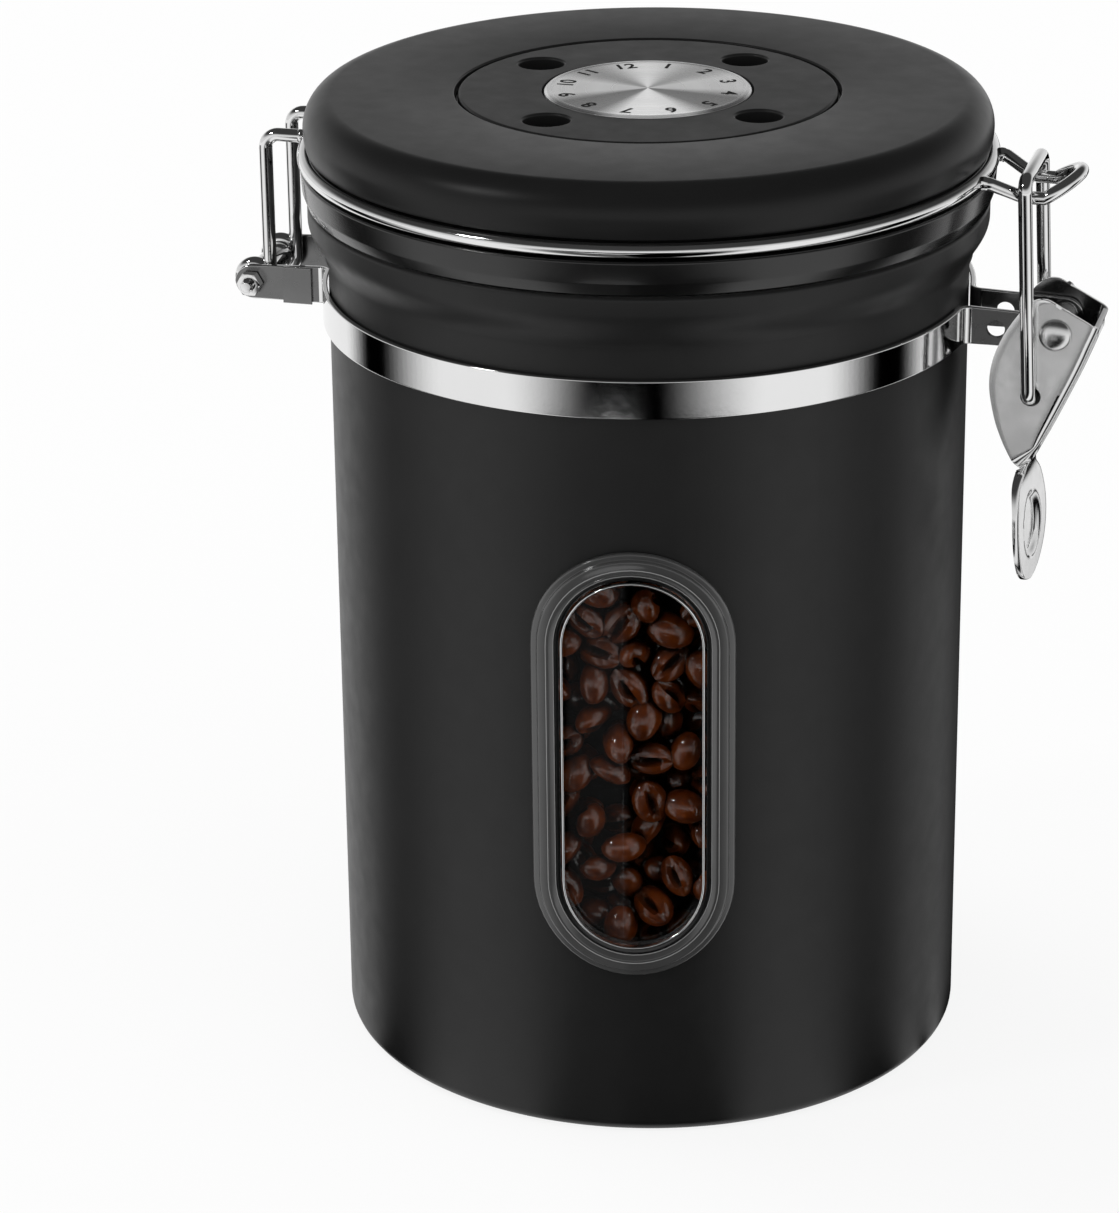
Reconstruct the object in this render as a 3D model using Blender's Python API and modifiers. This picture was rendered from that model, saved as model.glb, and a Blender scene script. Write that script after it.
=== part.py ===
"""Bail-latch coffee canister with a window, a vented lid and a date dial.

The frame: metres, +Z up, origin at the centre of the foot, on the surface that
the canister stands on. The latch faces +X, the lid's hinge is at -X, and the
window faces the front (-Y side), turned a little toward the latch.
"""
import math

import bmesh
import bpy
from mathutils import Matrix, Vector

MM = 0.001

# Shared clearances
FIT_GAP = 0.3 * MM
OVERRUN = 2.0 * MM
WELD = 0.00001

# Can body: a drawn steel can on a foot ring
BODY_RADIUS = 60.0 * MM
BODY_WALL = 0.6 * MM
RIM_HEIGHT = 166.4 * MM
BASE_RECESS = 2.4 * MM
FOOT_CORNER = 2.6 * MM
FOOT_WIDTH = 6.5 * MM
FOOT_SLOPE = 2.0 * MM
FLOOR_FILLET = 3.0 * MM

# Collar: the flared ring over the can's top edge
COLLAR_PROUD = 3.6 * MM
COLLAR_HEIGHT = 10.2 * MM
COLLAR_FLARE = 7.0 * MM
COLLAR_LIP = 1.0 * MM
COLLAR_TIP = 0.4 * MM
COLLAR_ROUND = 0.8 * MM

# Window: a stadium-shaped bezel, its steel trim, the pane and the seal behind
WINDOW_TURN = math.radians(11.0)
WINDOW_RISE = 4.35 * MM
BEZEL_WIDTH = 37.2 * MM
BEZEL_LENGTH = 83.9 * MM
BEZEL_FLANGE = 5.2 * MM
BEZEL_RISE = 1.1 * MM
RIDGE_RISE = 0.7 * MM
RIDGE_INSET = 1.1 * MM
RIDGE_WIDTH = 2.2 * MM
NECK_WALL = 1.2 * MM
NECK_DEPTH = 3.4 * MM
PANE_THICKNESS = 1.4 * MM
PANE_SETBACK = 0.7 * MM
TRIM_WIDTH = 0.9 * MM
TRIM_THICKNESS = 0.9 * MM
SEAL_THICKNESS = 1.0 * MM
RETAINER_THICKNESS = 1.2 * MM
RETAINER_WIDTH = 3.2 * MM

# Band: two half straps with folded ears
BAND_DROP = 23.3 * MM
BAND_HEIGHT = 7.2 * MM
BAND_THICKNESS = 1.0 * MM
BAND_CHAMFER = 0.2 * MM
EAR_HEIGHT = 6.6 * MM
EAR_FOLD = 2.2 * MM
SPARE_HOLE_RADIUS = 1.7 * MM
SPARE_HOLE_INSET = 11.2 * MM

# Hinge: bolt, nut and sleeve between the rear ears
HINGE_STANDOFF = 10.5 * MM
HINGE_EAR_SPREAD = 9.9 * MM
BOLT_RADIUS = 1.3 * MM
BOLT_HEAD_RADIUS = 2.6 * MM
BOLT_HEAD_HEIGHT = 1.7 * MM
BOLT_TIP = 1.6 * MM
NUT_RADIUS = 2.6 * MM
NUT_HEIGHT = 1.9 * MM
SLEEVE_WALL = 1.1 * MM

# Lid: steel dome over a moulded base with a wire groove, and the liner with the plug
SEAL_SEAT = 0.5 * MM
FLANGE_PROUD = 0.7 * MM
FLANGE_HEIGHT = 6.3 * MM
FLANGE_DRAFT = 1.0 * MM
FLANGE_ROUND = 0.5 * MM
GROOVE_HEIGHT = 3.6 * MM
LID_PROUD = 0.4 * MM
LID_HEIGHT = 9.3 * MM
LID_SKIRT = 3.3 * MM
LID_EDGE_RUN = 5.35 * MM
LID_TUCK = 0.5 * MM
SHELL_WALL = 0.8 * MM
LIP_DEPTH = 1.6 * MM
GASKET_INSET = 0.5 * MM
GASKET_WIDTH = 5.6 * MM
GASKET_THICKNESS = 1.5 * MM
PLUG_CLEARANCE = 2.6 * MM
PLUG_DEPTH = 11.9 * MM
PLUG_TAPER = 7.2 * MM
PLUG_WALL = 2.6 * MM
PLUG_ROUND = 0.8 * MM
CEILING_RISE = 1.9 * MM
MOULD_WALL = 2.4 * MM
LEDGE_WIDTH = 6.8 * MM
CHAMBER_FLOOR = 4.1 * MM
SHOULDER_DROP = 7.5 * MM
DISC_RADIUS = 35.2 * MM
DISC_THICKNESS = 1.5 * MM
DISC_BOSS = 1.1 * MM
DISC_DROP = 0.1 * MM
SEAT_WIDTH = 3.4 * MM
VENT_RADIUS = 4.6 * MM
VENT_TURN = math.radians(61.6)
VENT_COUNT = 4

# Date dial on its snap pin
DIAL_RADIUS = 19.2 * MM
DIAL_THICKNESS = 1.1 * MM
DIAL_PROUD = 0.3 * MM
DIAL_BEVEL = 0.45 * MM
PIN_RADIUS = 1.7 * MM
PIN_LENGTH = 5.0 * MM
PIN_HEAD_RADIUS = 3.0 * MM
PIN_HEAD_HEIGHT = 0.9 * MM
CLIP_RADIUS = 4.4 * MM
CLIP_THICKNESS = 0.9 * MM

# One-way valve in the middle of the plug
VALVE_RADIUS = 8.7 * MM
VALVE_WALL = 1.5 * MM
VALVE_FLANGE = 12.0 * MM
VALVE_FLANGE_HEIGHT = 1.4 * MM
BOSS_WALL = 5.0 * MM
BOSS_DROP = 7.0 * MM
VALVE_SEAT_RISE = 4.2 * MM
VALVE_SEAT_THICKNESS = 1.2 * MM
VALVE_PORT_RADIUS = 2.4 * MM
VALVE_TOP_DROP = 0.8 * MM
MEMBRANE_THICKNESS = 0.8 * MM
MEMBRANE_MARGIN = 1.0 * MM
VALVE_CAP_THICKNESS = 1.6 * MM
VALVE_CAP_HOLE_RADIUS = 0.9 * MM
VALVE_CAP_HOLE_REACH = 4.2 * MM
VALVE_CAP_HOLES = 6

# Wire work on the lid
RING_INSET = 0.1 * MM
RING_WIRE = 1.3 * MM
HINGE_WIRE_SPREAD = 7.8 * MM
HINGE_WIRE_BEND = 2.6 * MM
EYE_OPENING = math.radians(52.0)
CATCH_WIRE = 1.2 * MM
CATCH_ROOT_SPREAD = 9.4 * MM
CATCH_SPREAD = 6.8 * MM
CATCH_DROP = 2.9 * MM
CATCH_SLOPE_RUN = 6.7 * MM
CATCH_FLAT_RUN = 4.0 * MM
CATCH_TIP_RUN = 5.6 * MM
CATCH_TIP_RISE = 3.5 * MM
CATCH_BEND = 4.0 * MM
CATCH_STUB = 0.8 * MM
CATCH_STEPS = 5

# Over-centre latch: lever, wire loop, rivet and spacer
PIVOT_STANDOFF = 13.5 * MM
EAR_SPREAD = 5.4 * MM
LEVER_SPAN = 57.0 * MM
LEVER_SHEET = 0.9 * MM
WEB_THICKNESS = 1.1 * MM
TAB_THICKNESS = 2.3 * MM
NECK_HALF_WIDTH = 4.7 * MM
TAB_HALF_WIDTH = 8.6 * MM
TAB_HALF_LENGTH = 12.2 * MM
DISH_HALF_WIDTH = 4.6 * MM
DISH_HALF_LENGTH = 7.6 * MM
DISH_DEPTH = 1.1 * MM
RIVET_RADIUS = 1.6 * MM
RIVET_HEAD_RADIUS = 3.0 * MM
RIVET_HEAD_HEIGHT = 0.9 * MM
SPACER_WALL = 0.9 * MM
LOOP_WIRE = 1.3 * MM
LOOP_SPREAD = 9.8 * MM
LOOP_HOLE_INSET = 4.2 * MM
LOOP_HOLE_DROP = 12.2 * MM
LOOP_BAR_STANDOFF = 7.5 * MM
LOOP_BAR_LIFT = 1.2 * MM
LOOP_BEND = 2.2 * MM
LOOP_HOLE_MARGIN = 0.5 * MM

# The lever's outlines, as shares of its span, from the pivot: outward, up
CHEEK_SHARES = (
    (-0.054, 0.123), (0.060, 0.066), (0.128, 0.026), (0.080, -0.110), (0.020, -0.248),
    (-0.040, -0.348), (-0.076, -0.420), (-0.112, -0.432), (-0.150, -0.380),
    (-0.186, -0.300), (-0.209, -0.200), (-0.207, -0.125), (-0.165, -0.010),
    (-0.112, 0.075),
)
SPINE_SHARES = (
    (0.137, 0.026), (0.085, -0.110), (0.024, -0.248), (-0.035, -0.345), (-0.070, -0.405),
    (-0.087, -0.470), (-0.080, -0.560), (-0.069, -0.660), (-0.069, -0.760), (-0.086, -0.880),
)
TAB_START_SHARE = 0.47
CHANNEL_END_SHARE = 0.375
NECK_START_SHARE = 0.450

TURN_STEPS = 36
TUBE_STEPS = 72
FINE_STEPS = 36
SMALL_STEPS = 16
ARC_STEPS = 4
LEVER_STEPS = 24

COLLAR_RADIUS = BODY_RADIUS + COLLAR_PROUD
LID_RADIUS = COLLAR_RADIUS + LID_PROUD
FLANGE_RADIUS = LID_RADIUS + FLANGE_PROUD
RING_RADIUS = LID_RADIUS - RING_INSET
GASKET_OUTER = COLLAR_RADIUS - GASKET_INSET
PLUG_RADIUS = BODY_RADIUS - BODY_WALL - PLUG_CLEARANCE
HINGE_REACH = FLANGE_RADIUS + HINGE_STANDOFF
PIVOT_REACH = FLANGE_RADIUS + PIVOT_STANDOFF
SPARE_HOLE_REACH = PIVOT_REACH - SPARE_HOLE_INSET
CATCH_NECK = FLANGE_RADIUS + CATCH_SLOPE_RUN
CATCH_FLAT_END = CATCH_NECK + CATCH_FLAT_RUN
LOOP_BAR_REACH = FLANGE_RADIUS + LOOP_BAR_STANDOFF
VENT_REACH = (DIAL_RADIUS + DISC_RADIUS) / 2
TAB_CENTRE_DROP = -SPINE_SHARES[-1][1] * LEVER_SPAN - TAB_HALF_LENGTH
BAND_FOOT = RIM_HEIGHT - BAND_DROP
WINDOW_CENTRE = BAND_FOOT / 2 + WINDOW_RISE
EAR_CENTRE = BAND_FOOT + EAR_HEIGHT / 2
LID_FOOT = RIM_HEIGHT + SEAL_SEAT
FLANGE_TOP = LID_FOOT + FLANGE_HEIGHT
SHELL_FOOT = FLANGE_TOP + GROOVE_HEIGHT
LID_TOP = SHELL_FOOT + LID_HEIGHT
RING_HEIGHT = FLANGE_TOP + GROOVE_HEIGHT / 2
DISC_TOP = LID_TOP - DISC_DROP
DISC_FOOT = DISC_TOP - DISC_THICKNESS
PLUG_FOOT = LID_FOOT - PLUG_DEPTH
CEILING = LID_FOOT - CEILING_RISE
CHAMBER = LID_FOOT + CHAMBER_FLOOR
BOSS_FOOT = CEILING - BOSS_DROP
LEDGE_FOOT = RIM_HEIGHT + FIT_GAP * 2 + GASKET_THICKNESS
DIAL_TOP = DISC_TOP + DIAL_PROUD
DIAL_FOOT = DIAL_TOP - DIAL_THICKNESS
CATCH_HEIGHT = RING_HEIGHT - CATCH_DROP
LOOP_BAR_HEIGHT = CATCH_HEIGHT + CATCH_WIRE + LOOP_WIRE + LOOP_BAR_LIFT
LOOP_HOLE_REACH = PIVOT_REACH - LOOP_HOLE_INSET
LOOP_HOLE_HEIGHT = EAR_CENTRE - LOOP_HOLE_DROP
CHEEK_INNER = EAR_SPREAD + BAND_THICKNESS / 2 + FIT_GAP
CHEEK_OUTER = CHEEK_INNER + LEVER_SHEET
EYE_RADIUS = BOLT_RADIUS + FIT_GAP + RING_WIRE


for old in list(bpy.data.objects):
    bpy.data.objects.remove(old, do_unlink=True)

PARTS = bpy.data.collections.new("coffee_canister")
CUTTERS = bpy.data.collections.new("cutters")
for group in (PARTS, CUTTERS):
    bpy.context.scene.collection.children.link(group)


def material(name, colour, roughness, metallic):
    made = bpy.data.materials.new(name)
    made.use_nodes = True
    shader = made.node_tree.nodes["Principled BSDF"]
    shader.inputs["Base Color"].default_value = (*colour, 1)
    shader.inputs["Roughness"].default_value = roughness
    shader.inputs["Metallic"].default_value = metallic
    made.diffuse_color = (*colour, 1)
    return made


BLACK_COAT = ((0.018, 0.018, 0.020), 0.55, 0.0)
BLACK_PLASTIC = ((0.012, 0.012, 0.013), 0.35, 0.0)
RUBBER = ((0.020, 0.020, 0.022), 0.70, 0.0)
CHROME = ((0.80, 0.80, 0.81), 0.12, 1.0)
BRUSHED = ((0.72, 0.72, 0.73), 0.32, 1.0)
SMOKE = ((0.10, 0.10, 0.11), 0.15, 0.0)
CLEAR = ((0.55, 0.57, 0.58), 0.05, 0.0)
SILICONE = ((0.75, 0.75, 0.73), 0.45, 0.0)


def solid(made, name, look=None):
    """Turn an evaluated object into a welded mesh object of its own."""
    bpy.context.view_layer.update()
    depsgraph = bpy.context.evaluated_depsgraph_get()
    mesh = bpy.data.meshes.new_from_object(made.evaluated_get(depsgraph))
    mesh.name = name
    work = bmesh.new()
    work.from_mesh(mesh)
    bmesh.ops.remove_doubles(work, verts=work.verts, dist=WELD)
    bmesh.ops.recalc_face_normals(work, faces=work.faces)
    work.to_mesh(mesh)
    work.free()
    mesh.materials.clear()
    place = made.matrix_world.copy()
    data = made.data
    bpy.data.objects.remove(made, do_unlink=True)
    if isinstance(data, bpy.types.Curve):
        bpy.data.curves.remove(data)
    result = bpy.data.objects.new(name, mesh)
    result.matrix_world = place
    if look is None:
        CUTTERS.objects.link(result)
        result.hide_render = True
        result.display_type = "WIRE"
    else:
        PARTS.objects.link(result)
        mesh.materials.append(material(name, *look))
        mesh.shade_smooth()
        mesh.set_sharp_from_angle(angle=math.radians(35))
    return result


def turned(name, section, steps=TURN_STEPS, look=None):
    """Revolve a section of (radius, height) points about Z; its outer side runs down."""
    mesh = bpy.data.meshes.new(name + "_section")
    ring = section[0][0] > 0
    edges = [(i, i + 1) for i in range(len(section) - 1)]
    if ring:
        edges.append((len(section) - 1, 0))
    mesh.from_pydata([(r, 0, z) for r, z in section], edges, [])
    made = bpy.data.objects.new(name + "_turn", mesh)
    CUTTERS.objects.link(made)
    screw = made.modifiers.new("turn", "SCREW")
    screw.axis = "Z"
    screw.steps = steps
    screw.render_steps = steps
    screw.use_merge_vertices = True
    screw.merge_threshold = WELD
    return solid(made, name, look)


def extruded(name, outline, depth, place, look=None):
    """A flat outline, filled and extruded both ways by half its depth, then placed."""
    curve = bpy.data.curves.new(name + "_outline", "CURVE")
    curve.dimensions = "2D"
    curve.fill_mode = "BOTH"
    curve.extrude = depth / 2
    spline = curve.splines.new("POLY")
    spline.points.add(len(outline) - 1)
    for point, (u, v) in zip(spline.points, outline):
        point.co = (u, v, 0, 1)
    spline.use_cyclic_u = True
    made = bpy.data.objects.new(name + "_flat", curve)
    CUTTERS.objects.link(made)
    made.matrix_world = place
    return solid(made, name, look)


def side_view(offset=0):
    """Place an (x, z) outline, extruded along Y, at the given y."""
    return Matrix.Translation((0, offset, 0)) @ Matrix.Rotation(math.radians(90), 4, "X")


def front_view(offset=0):
    """Place a (y, z) outline, extruded along X, at the given x."""
    columns = Matrix(((0, 0, 1, 0), (1, 0, 0, 0), (0, 1, 0, 0), (0, 0, 0, 1)))
    return Matrix.Translation((offset, 0, 0)) @ columns


def plan_view(height):
    """Place an (x, y) outline, extruded along Z, at the given height."""
    return Matrix.Translation((0, 0, height))


def rod(name, radius, length, place, sides=SMALL_STEPS, look=None):
    """A round or many-sided rod along its own Z, centred on its place."""
    mesh = bpy.data.meshes.new(name + "_rod")
    work = bmesh.new()
    bmesh.ops.create_cone(
        work, cap_ends=True, segments=sides, radius1=radius, radius2=radius, depth=length
    )
    work.to_mesh(mesh)
    work.free()
    made = bpy.data.objects.new(name + "_rod", mesh)
    CUTTERS.objects.link(made)
    made.matrix_world = place
    return solid(made, name, look)


def across(x, y, z):
    """The place of a rod that lies along Y."""
    return Matrix.Translation((x, y, z)) @ Matrix.Rotation(math.radians(90), 4, "X")


def wire(name, points, radius, closed=False, look=CHROME):
    """A round wire through the given points."""
    curve = bpy.data.curves.new(name + "_path", "CURVE")
    curve.dimensions = "3D"
    curve.bevel_depth = radius
    curve.bevel_resolution = 2
    curve.use_fill_caps = True
    spline = curve.splines.new("POLY")
    spline.points.add(len(points) - 1)
    for point, place in zip(spline.points, points):
        point.co = (*place, 1)
    spline.use_cyclic_u = closed
    made = bpy.data.objects.new(name + "_wire", curve)
    CUTTERS.objects.link(made)
    return solid(made, name, look)


def join(target, other, operation):
    """Add a live boolean of the other object to the target."""
    step = target.modifiers.new(other.name, "BOOLEAN")
    step.operation = operation
    step.object = other
    step.solver = "EXACT"
    return target


def arc(centre, radii, start, end, steps=ARC_STEPS):
    """Points on an upright ellipse from one angle to another, ends included."""
    points = []
    for i in range(steps + 1):
        angle = start + (end - start) * i / steps
        u = centre[0] + radii[0] * math.cos(angle)
        v = centre[1] + radii[1] * math.sin(angle)
        points.append((u, v))
    return points


def bent(points, radius, closed=False, steps=3):
    """Round the corners of a polyline of 3-D points with arcs of one radius."""
    spots = [Vector(p) for p in points]
    count = len(spots)
    result = []
    for i, spot in enumerate(spots):
        if not closed and i in (0, count - 1):
            result.append(spot)
            continue
        back = (spots[i - 1] - spot).normalized()
        ahead = (spots[(i + 1) % count] - spot).normalized()
        angle = back.angle(ahead)
        if angle > math.radians(178):
            result.append(spot)
            continue
        reach = radius / math.tan(angle / 2)
        room = min((spots[i - 1] - spot).length, (spots[(i + 1) % count] - spot).length) / 2
        reach = min(reach, room)
        actual = reach * math.tan(angle / 2)
        bisector = (back + ahead).normalized()
        centre = spot + bisector * (actual / math.sin(angle / 2))
        first = spot + back * reach - centre
        sweep = math.pi - angle
        axis = first.cross(spot + ahead * reach - centre).normalized()
        for k in range(steps + 1):
            turn = Matrix.Rotation(sweep * k / steps, 3, axis)
            result.append(centre + turn @ first)
    return result


def smooth(points, steps=4, closed=False):
    """Catmull-Rom points through an outline of 2-D points."""
    count = len(points)
    spans = count if closed else count - 1
    result = []
    for i in range(spans):
        if closed:
            p0, p1, p2, p3 = (Vector(points[(i + k - 1) % count]) for k in range(4))
        else:
            p1 = Vector(points[i])
            p2 = Vector(points[i + 1])
            p0 = Vector(points[i - 1]) if i > 0 else p1
            p3 = Vector(points[i + 2]) if i + 2 < count else p2
        for k in range(steps):
            t = k / steps
            spot = p1 * 2 + (p2 - p0) * t
            spot += (p0 * 2 - p1 * 5 + p2 * 4 - p3) * t * t
            spot += (p1 * 3 - p0 - p2 * 3 + p3) * t * t * t
            result.append(tuple(spot / 2))
    if not closed:
        result.append(tuple(points[-1]))
    return result


def stadium(width, length, centre=0):
    """A slot outline with round ends, upright, centred at the given height."""
    radius = width / 2
    rise = length / 2 - radius
    half = math.pi
    top = arc((0, centre + rise), (radius, radius), 0, half, ARC_STEPS * 3)
    foot = arc((0, centre - rise), (radius, radius), half, half * 2, ARC_STEPS * 3)
    return top + foot


def canister_body():
    """The drawn can: floor, wall, rolled foot and recessed base in one section."""
    inner = BODY_RADIUS - BODY_WALL
    floor = BASE_RECESS + BODY_WALL
    top = RIM_HEIGHT - COLLAR_LIP - FIT_GAP
    quarter = math.pi / 2
    section = [(0, floor)]
    fillet = (inner - FLOOR_FILLET, floor + FLOOR_FILLET)
    section += arc(fillet, (FLOOR_FILLET, FLOOR_FILLET), -quarter, 0, 3)
    section += [(inner, top), (BODY_RADIUS, top)]
    corner = (BODY_RADIUS - FOOT_CORNER, FOOT_CORNER)
    section += arc(corner, (FOOT_CORNER, FOOT_CORNER), 0, -quarter, 3)
    foot_inner = BODY_RADIUS - FOOT_WIDTH
    section += [(foot_inner, 0), (foot_inner - FOOT_SLOPE, BASE_RECESS), (0, BASE_RECESS)]
    can = turned("canister_body", section, look=BLACK_COAT)
    width = BEZEL_WIDTH - 2 * BEZEL_FLANGE + 2 * NECK_WALL + 2 * FIT_GAP
    length = BEZEL_LENGTH - 2 * BEZEL_FLANGE + 2 * NECK_WALL + 2 * FIT_GAP
    join(can, window_prism("window_opening", width, length), "DIFFERENCE")
    return can


def collar():
    """The flared collar that caps the can's raw top edge."""
    inner = BODY_RADIUS + FIT_GAP
    foot = RIM_HEIGHT - COLLAR_HEIGHT
    lip = BODY_RADIUS - BODY_WALL
    under = RIM_HEIGHT - COLLAR_LIP
    section = [(lip, RIM_HEIGHT - COLLAR_TIP), (lip + COLLAR_TIP, RIM_HEIGHT)]
    crown = (COLLAR_RADIUS - COLLAR_ROUND, RIM_HEIGHT - COLLAR_ROUND)
    section += arc(crown, (COLLAR_ROUND, COLLAR_ROUND), math.pi / 2, 0, 2)
    for i in range(ARC_STEPS + 1):
        drop = i / ARC_STEPS
        ease = (1 + math.cos(math.pi * drop)) / 2
        radius = inner + COLLAR_TIP + (COLLAR_RADIUS - inner - COLLAR_TIP) * ease
        section.append((radius, foot + COLLAR_FLARE * (1 - drop)))
    section += [(inner, foot), (inner, under), (lip, under)]
    return turned("collar_ring", section, look=BLACK_COAT)


def window_prism(name, width, length):
    """A slot-shaped cutter through the window's side of the wall only."""
    reach = BODY_RADIUS + OVERRUN * 2
    outline = stadium(width, length, WINDOW_CENTRE)
    turn = Matrix.Rotation(WINDOW_TURN, 4, "Z")
    place = turn @ side_view(-reach / 2 - OVERRUN)
    return extruded(name, outline, reach - OVERRUN, place)


def window_tube(name, inner, outer, look=None):
    """A stretch of tube about the can's axis, as tall as the bezel and more."""
    half = BEZEL_LENGTH / 2 + OVERRUN
    low = WINDOW_CENTRE - half
    high = WINDOW_CENTRE + half
    section = [(inner, high), (outer, high), (outer, low), (inner, low)]
    return turned(name, section, steps=TUBE_STEPS, look=look)


def window():
    """Bezel, trim, pane, seal and retainer, all slots cut from tubes about one axis."""
    face = BODY_RADIUS + FIT_GAP
    inner_width = BEZEL_WIDTH - 2 * BEZEL_FLANGE
    inner_length = BEZEL_LENGTH - 2 * BEZEL_FLANGE
    grow = 2 * NECK_WALL
    bezel = window_tube("window_bezel", face, face + BEZEL_RISE, SMOKE)
    join(bezel, window_prism("bezel_outer", BEZEL_WIDTH, BEZEL_LENGTH), "INTERSECT")
    ridge = window_tube("bezel_ridge", face + BEZEL_RISE / 2, face + BEZEL_RISE + RIDGE_RISE)
    edge = 2 * RIDGE_INSET
    outer_cut = window_prism("ridge_outer", BEZEL_WIDTH - edge, BEZEL_LENGTH - edge)
    edge += 2 * RIDGE_WIDTH
    inner_cut = window_prism("ridge_inner", BEZEL_WIDTH - edge, BEZEL_LENGTH - edge)
    join(ridge, outer_cut, "INTERSECT")
    join(ridge, inner_cut, "DIFFERENCE")
    neck = window_tube("bezel_neck", face - NECK_DEPTH, face + BEZEL_RISE / 2)
    join(neck, window_prism("neck_outer", inner_width + grow, inner_length + grow), "INTERSECT")
    join(bezel, ridge, "UNION")
    join(bezel, neck, "UNION")
    join(bezel, window_prism("bezel_inner", inner_width, inner_length), "DIFFERENCE")

    pane_width = inner_width - 2 * FIT_GAP
    pane_length = inner_length - 2 * FIT_GAP
    pane_face = face + BEZEL_RISE - PANE_SETBACK
    pane = window_tube("window_pane", pane_face - PANE_THICKNESS, pane_face, CLEAR)
    join(pane, window_prism("pane_outer", pane_width, pane_length), "INTERSECT")
    trim_foot = pane_face + FIT_GAP
    trim = window_tube("window_trim", trim_foot, trim_foot + TRIM_THICKNESS, CHROME)
    join(trim, window_prism("trim_outer", pane_width, pane_length), "INTERSECT")
    edge = 2 * TRIM_WIDTH
    join(trim, window_prism("trim_inner", pane_width - edge, pane_length - edge), "DIFFERENCE")

    hole_width = inner_width + grow + 2 * FIT_GAP
    hole_length = inner_length + grow + 2 * FIT_GAP
    edge = 2 * RETAINER_WIDTH
    back = BODY_RADIUS - BODY_WALL - FIT_GAP
    layers = (
        ("window_gasket", SEAL_THICKNESS, RUBBER),
        ("window_retainer", RETAINER_THICKNESS, BLACK_PLASTIC),
    )
    for name, thickness, look in layers:
        ring = window_tube(name, back - thickness, back, look)
        outer_cut = window_prism(name + "_outer", hole_width + edge, hole_length + edge)
        join(ring, outer_cut, "INTERSECT")
        join(ring, window_prism(name + "_inner", hole_width, hole_length), "DIFFERENCE")
        back -= thickness + FIT_GAP


def strap_path(radius, side):
    """One side of a half strap in plan: hinge ear, fold, arc, fold, latch ear."""
    points = []
    ends = ((HINGE_REACH, HINGE_EAR_SPREAD, -1), (PIVOT_REACH, EAR_SPREAD, 1))
    folds = []
    middle = BODY_RADIUS + FIT_GAP + BAND_THICKNESS / 2
    away = radius - middle
    for reach, spread, way in ends:
        fold = EAR_FOLD - away
        lean = math.asin((spread + EAR_FOLD) / (middle + EAR_FOLD))
        centre = ((middle + EAR_FOLD) * math.cos(lean), spread + EAR_FOLD)
        run = []
        for k in range(ARC_STEPS + 1):
            angle = -math.pi / 2 - (math.pi / 2 - lean) * k / ARC_STEPS
            run.append((centre[0] + fold * math.cos(angle), centre[1] + fold * math.sin(angle)))
        run.insert(0, (reach + EAR_HEIGHT / 2, spread + away))
        folds.append((way, lean, run))
    for way, lean, run in folds:
        placed = [(way * x, side * y) for x, y in run]
        points.append((lean, placed))
    lean_hinge, hinge_run = points[0]
    lean_latch, latch_run = points[1]
    start = math.pi - lean_hinge
    sweep = start - lean_latch
    steps = FINE_STEPS // 2 + ARC_STEPS
    body = []
    for k in range(1, steps):
        angle = start - sweep * k / steps
        body.append((radius * math.cos(angle), side * radius * math.sin(angle)))
    return hinge_run + body + list(reversed(latch_run))


def band(name, side):
    """A half strap with an ear folded out at each end, rounded and drilled."""
    inner = strap_path(BODY_RADIUS + FIT_GAP, side)
    outer = strap_path(BODY_RADIUS + FIT_GAP + BAND_THICKNESS, side)
    outline = inner + list(reversed(outer))
    middle = BAND_FOOT + BAND_HEIGHT / 2
    strap = extruded(name, outline, BAND_HEIGHT, plan_view(middle), look=CHROME)
    half = EAR_HEIGHT / 2
    waist = BODY_RADIUS + EAR_FOLD + BAND_THICKNESS * 2
    top = BAND_FOOT + BAND_HEIGHT
    shape = arc((PIVOT_REACH, EAR_CENTRE), (half, half), -math.pi / 2, math.pi / 2, 8)
    shape += [(waist + half, BAND_FOOT + EAR_HEIGHT)]
    shape += [(waist, top + OVERRUN), (-waist, top + OVERRUN)]
    shape += [(-waist - half, BAND_FOOT + EAR_HEIGHT)]
    shape += arc((-HINGE_REACH, EAR_CENTRE), (half, half), math.pi / 2, math.pi * 3 / 2, 8)
    span = BODY_RADIUS + OVERRUN * 4
    keep = extruded(name + "_ears", shape, span, side_view(side * span / 2))
    join(strap, keep, "INTERSECT")
    drills = (
        ("hinge", -HINGE_REACH, HINGE_EAR_SPREAD, BOLT_RADIUS + FIT_GAP),
        ("pivot", PIVOT_REACH, EAR_SPREAD, RIVET_RADIUS + FIT_GAP),
        ("spare", SPARE_HOLE_REACH, EAR_SPREAD, SPARE_HOLE_RADIUS),
    )
    for label, x, y, radius in drills:
        place = across(x, side * y, EAR_CENTRE)
        join(strap, rod(name + "_" + label, radius, OVERRUN * 2, place), "DIFFERENCE")
    return strap


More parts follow.
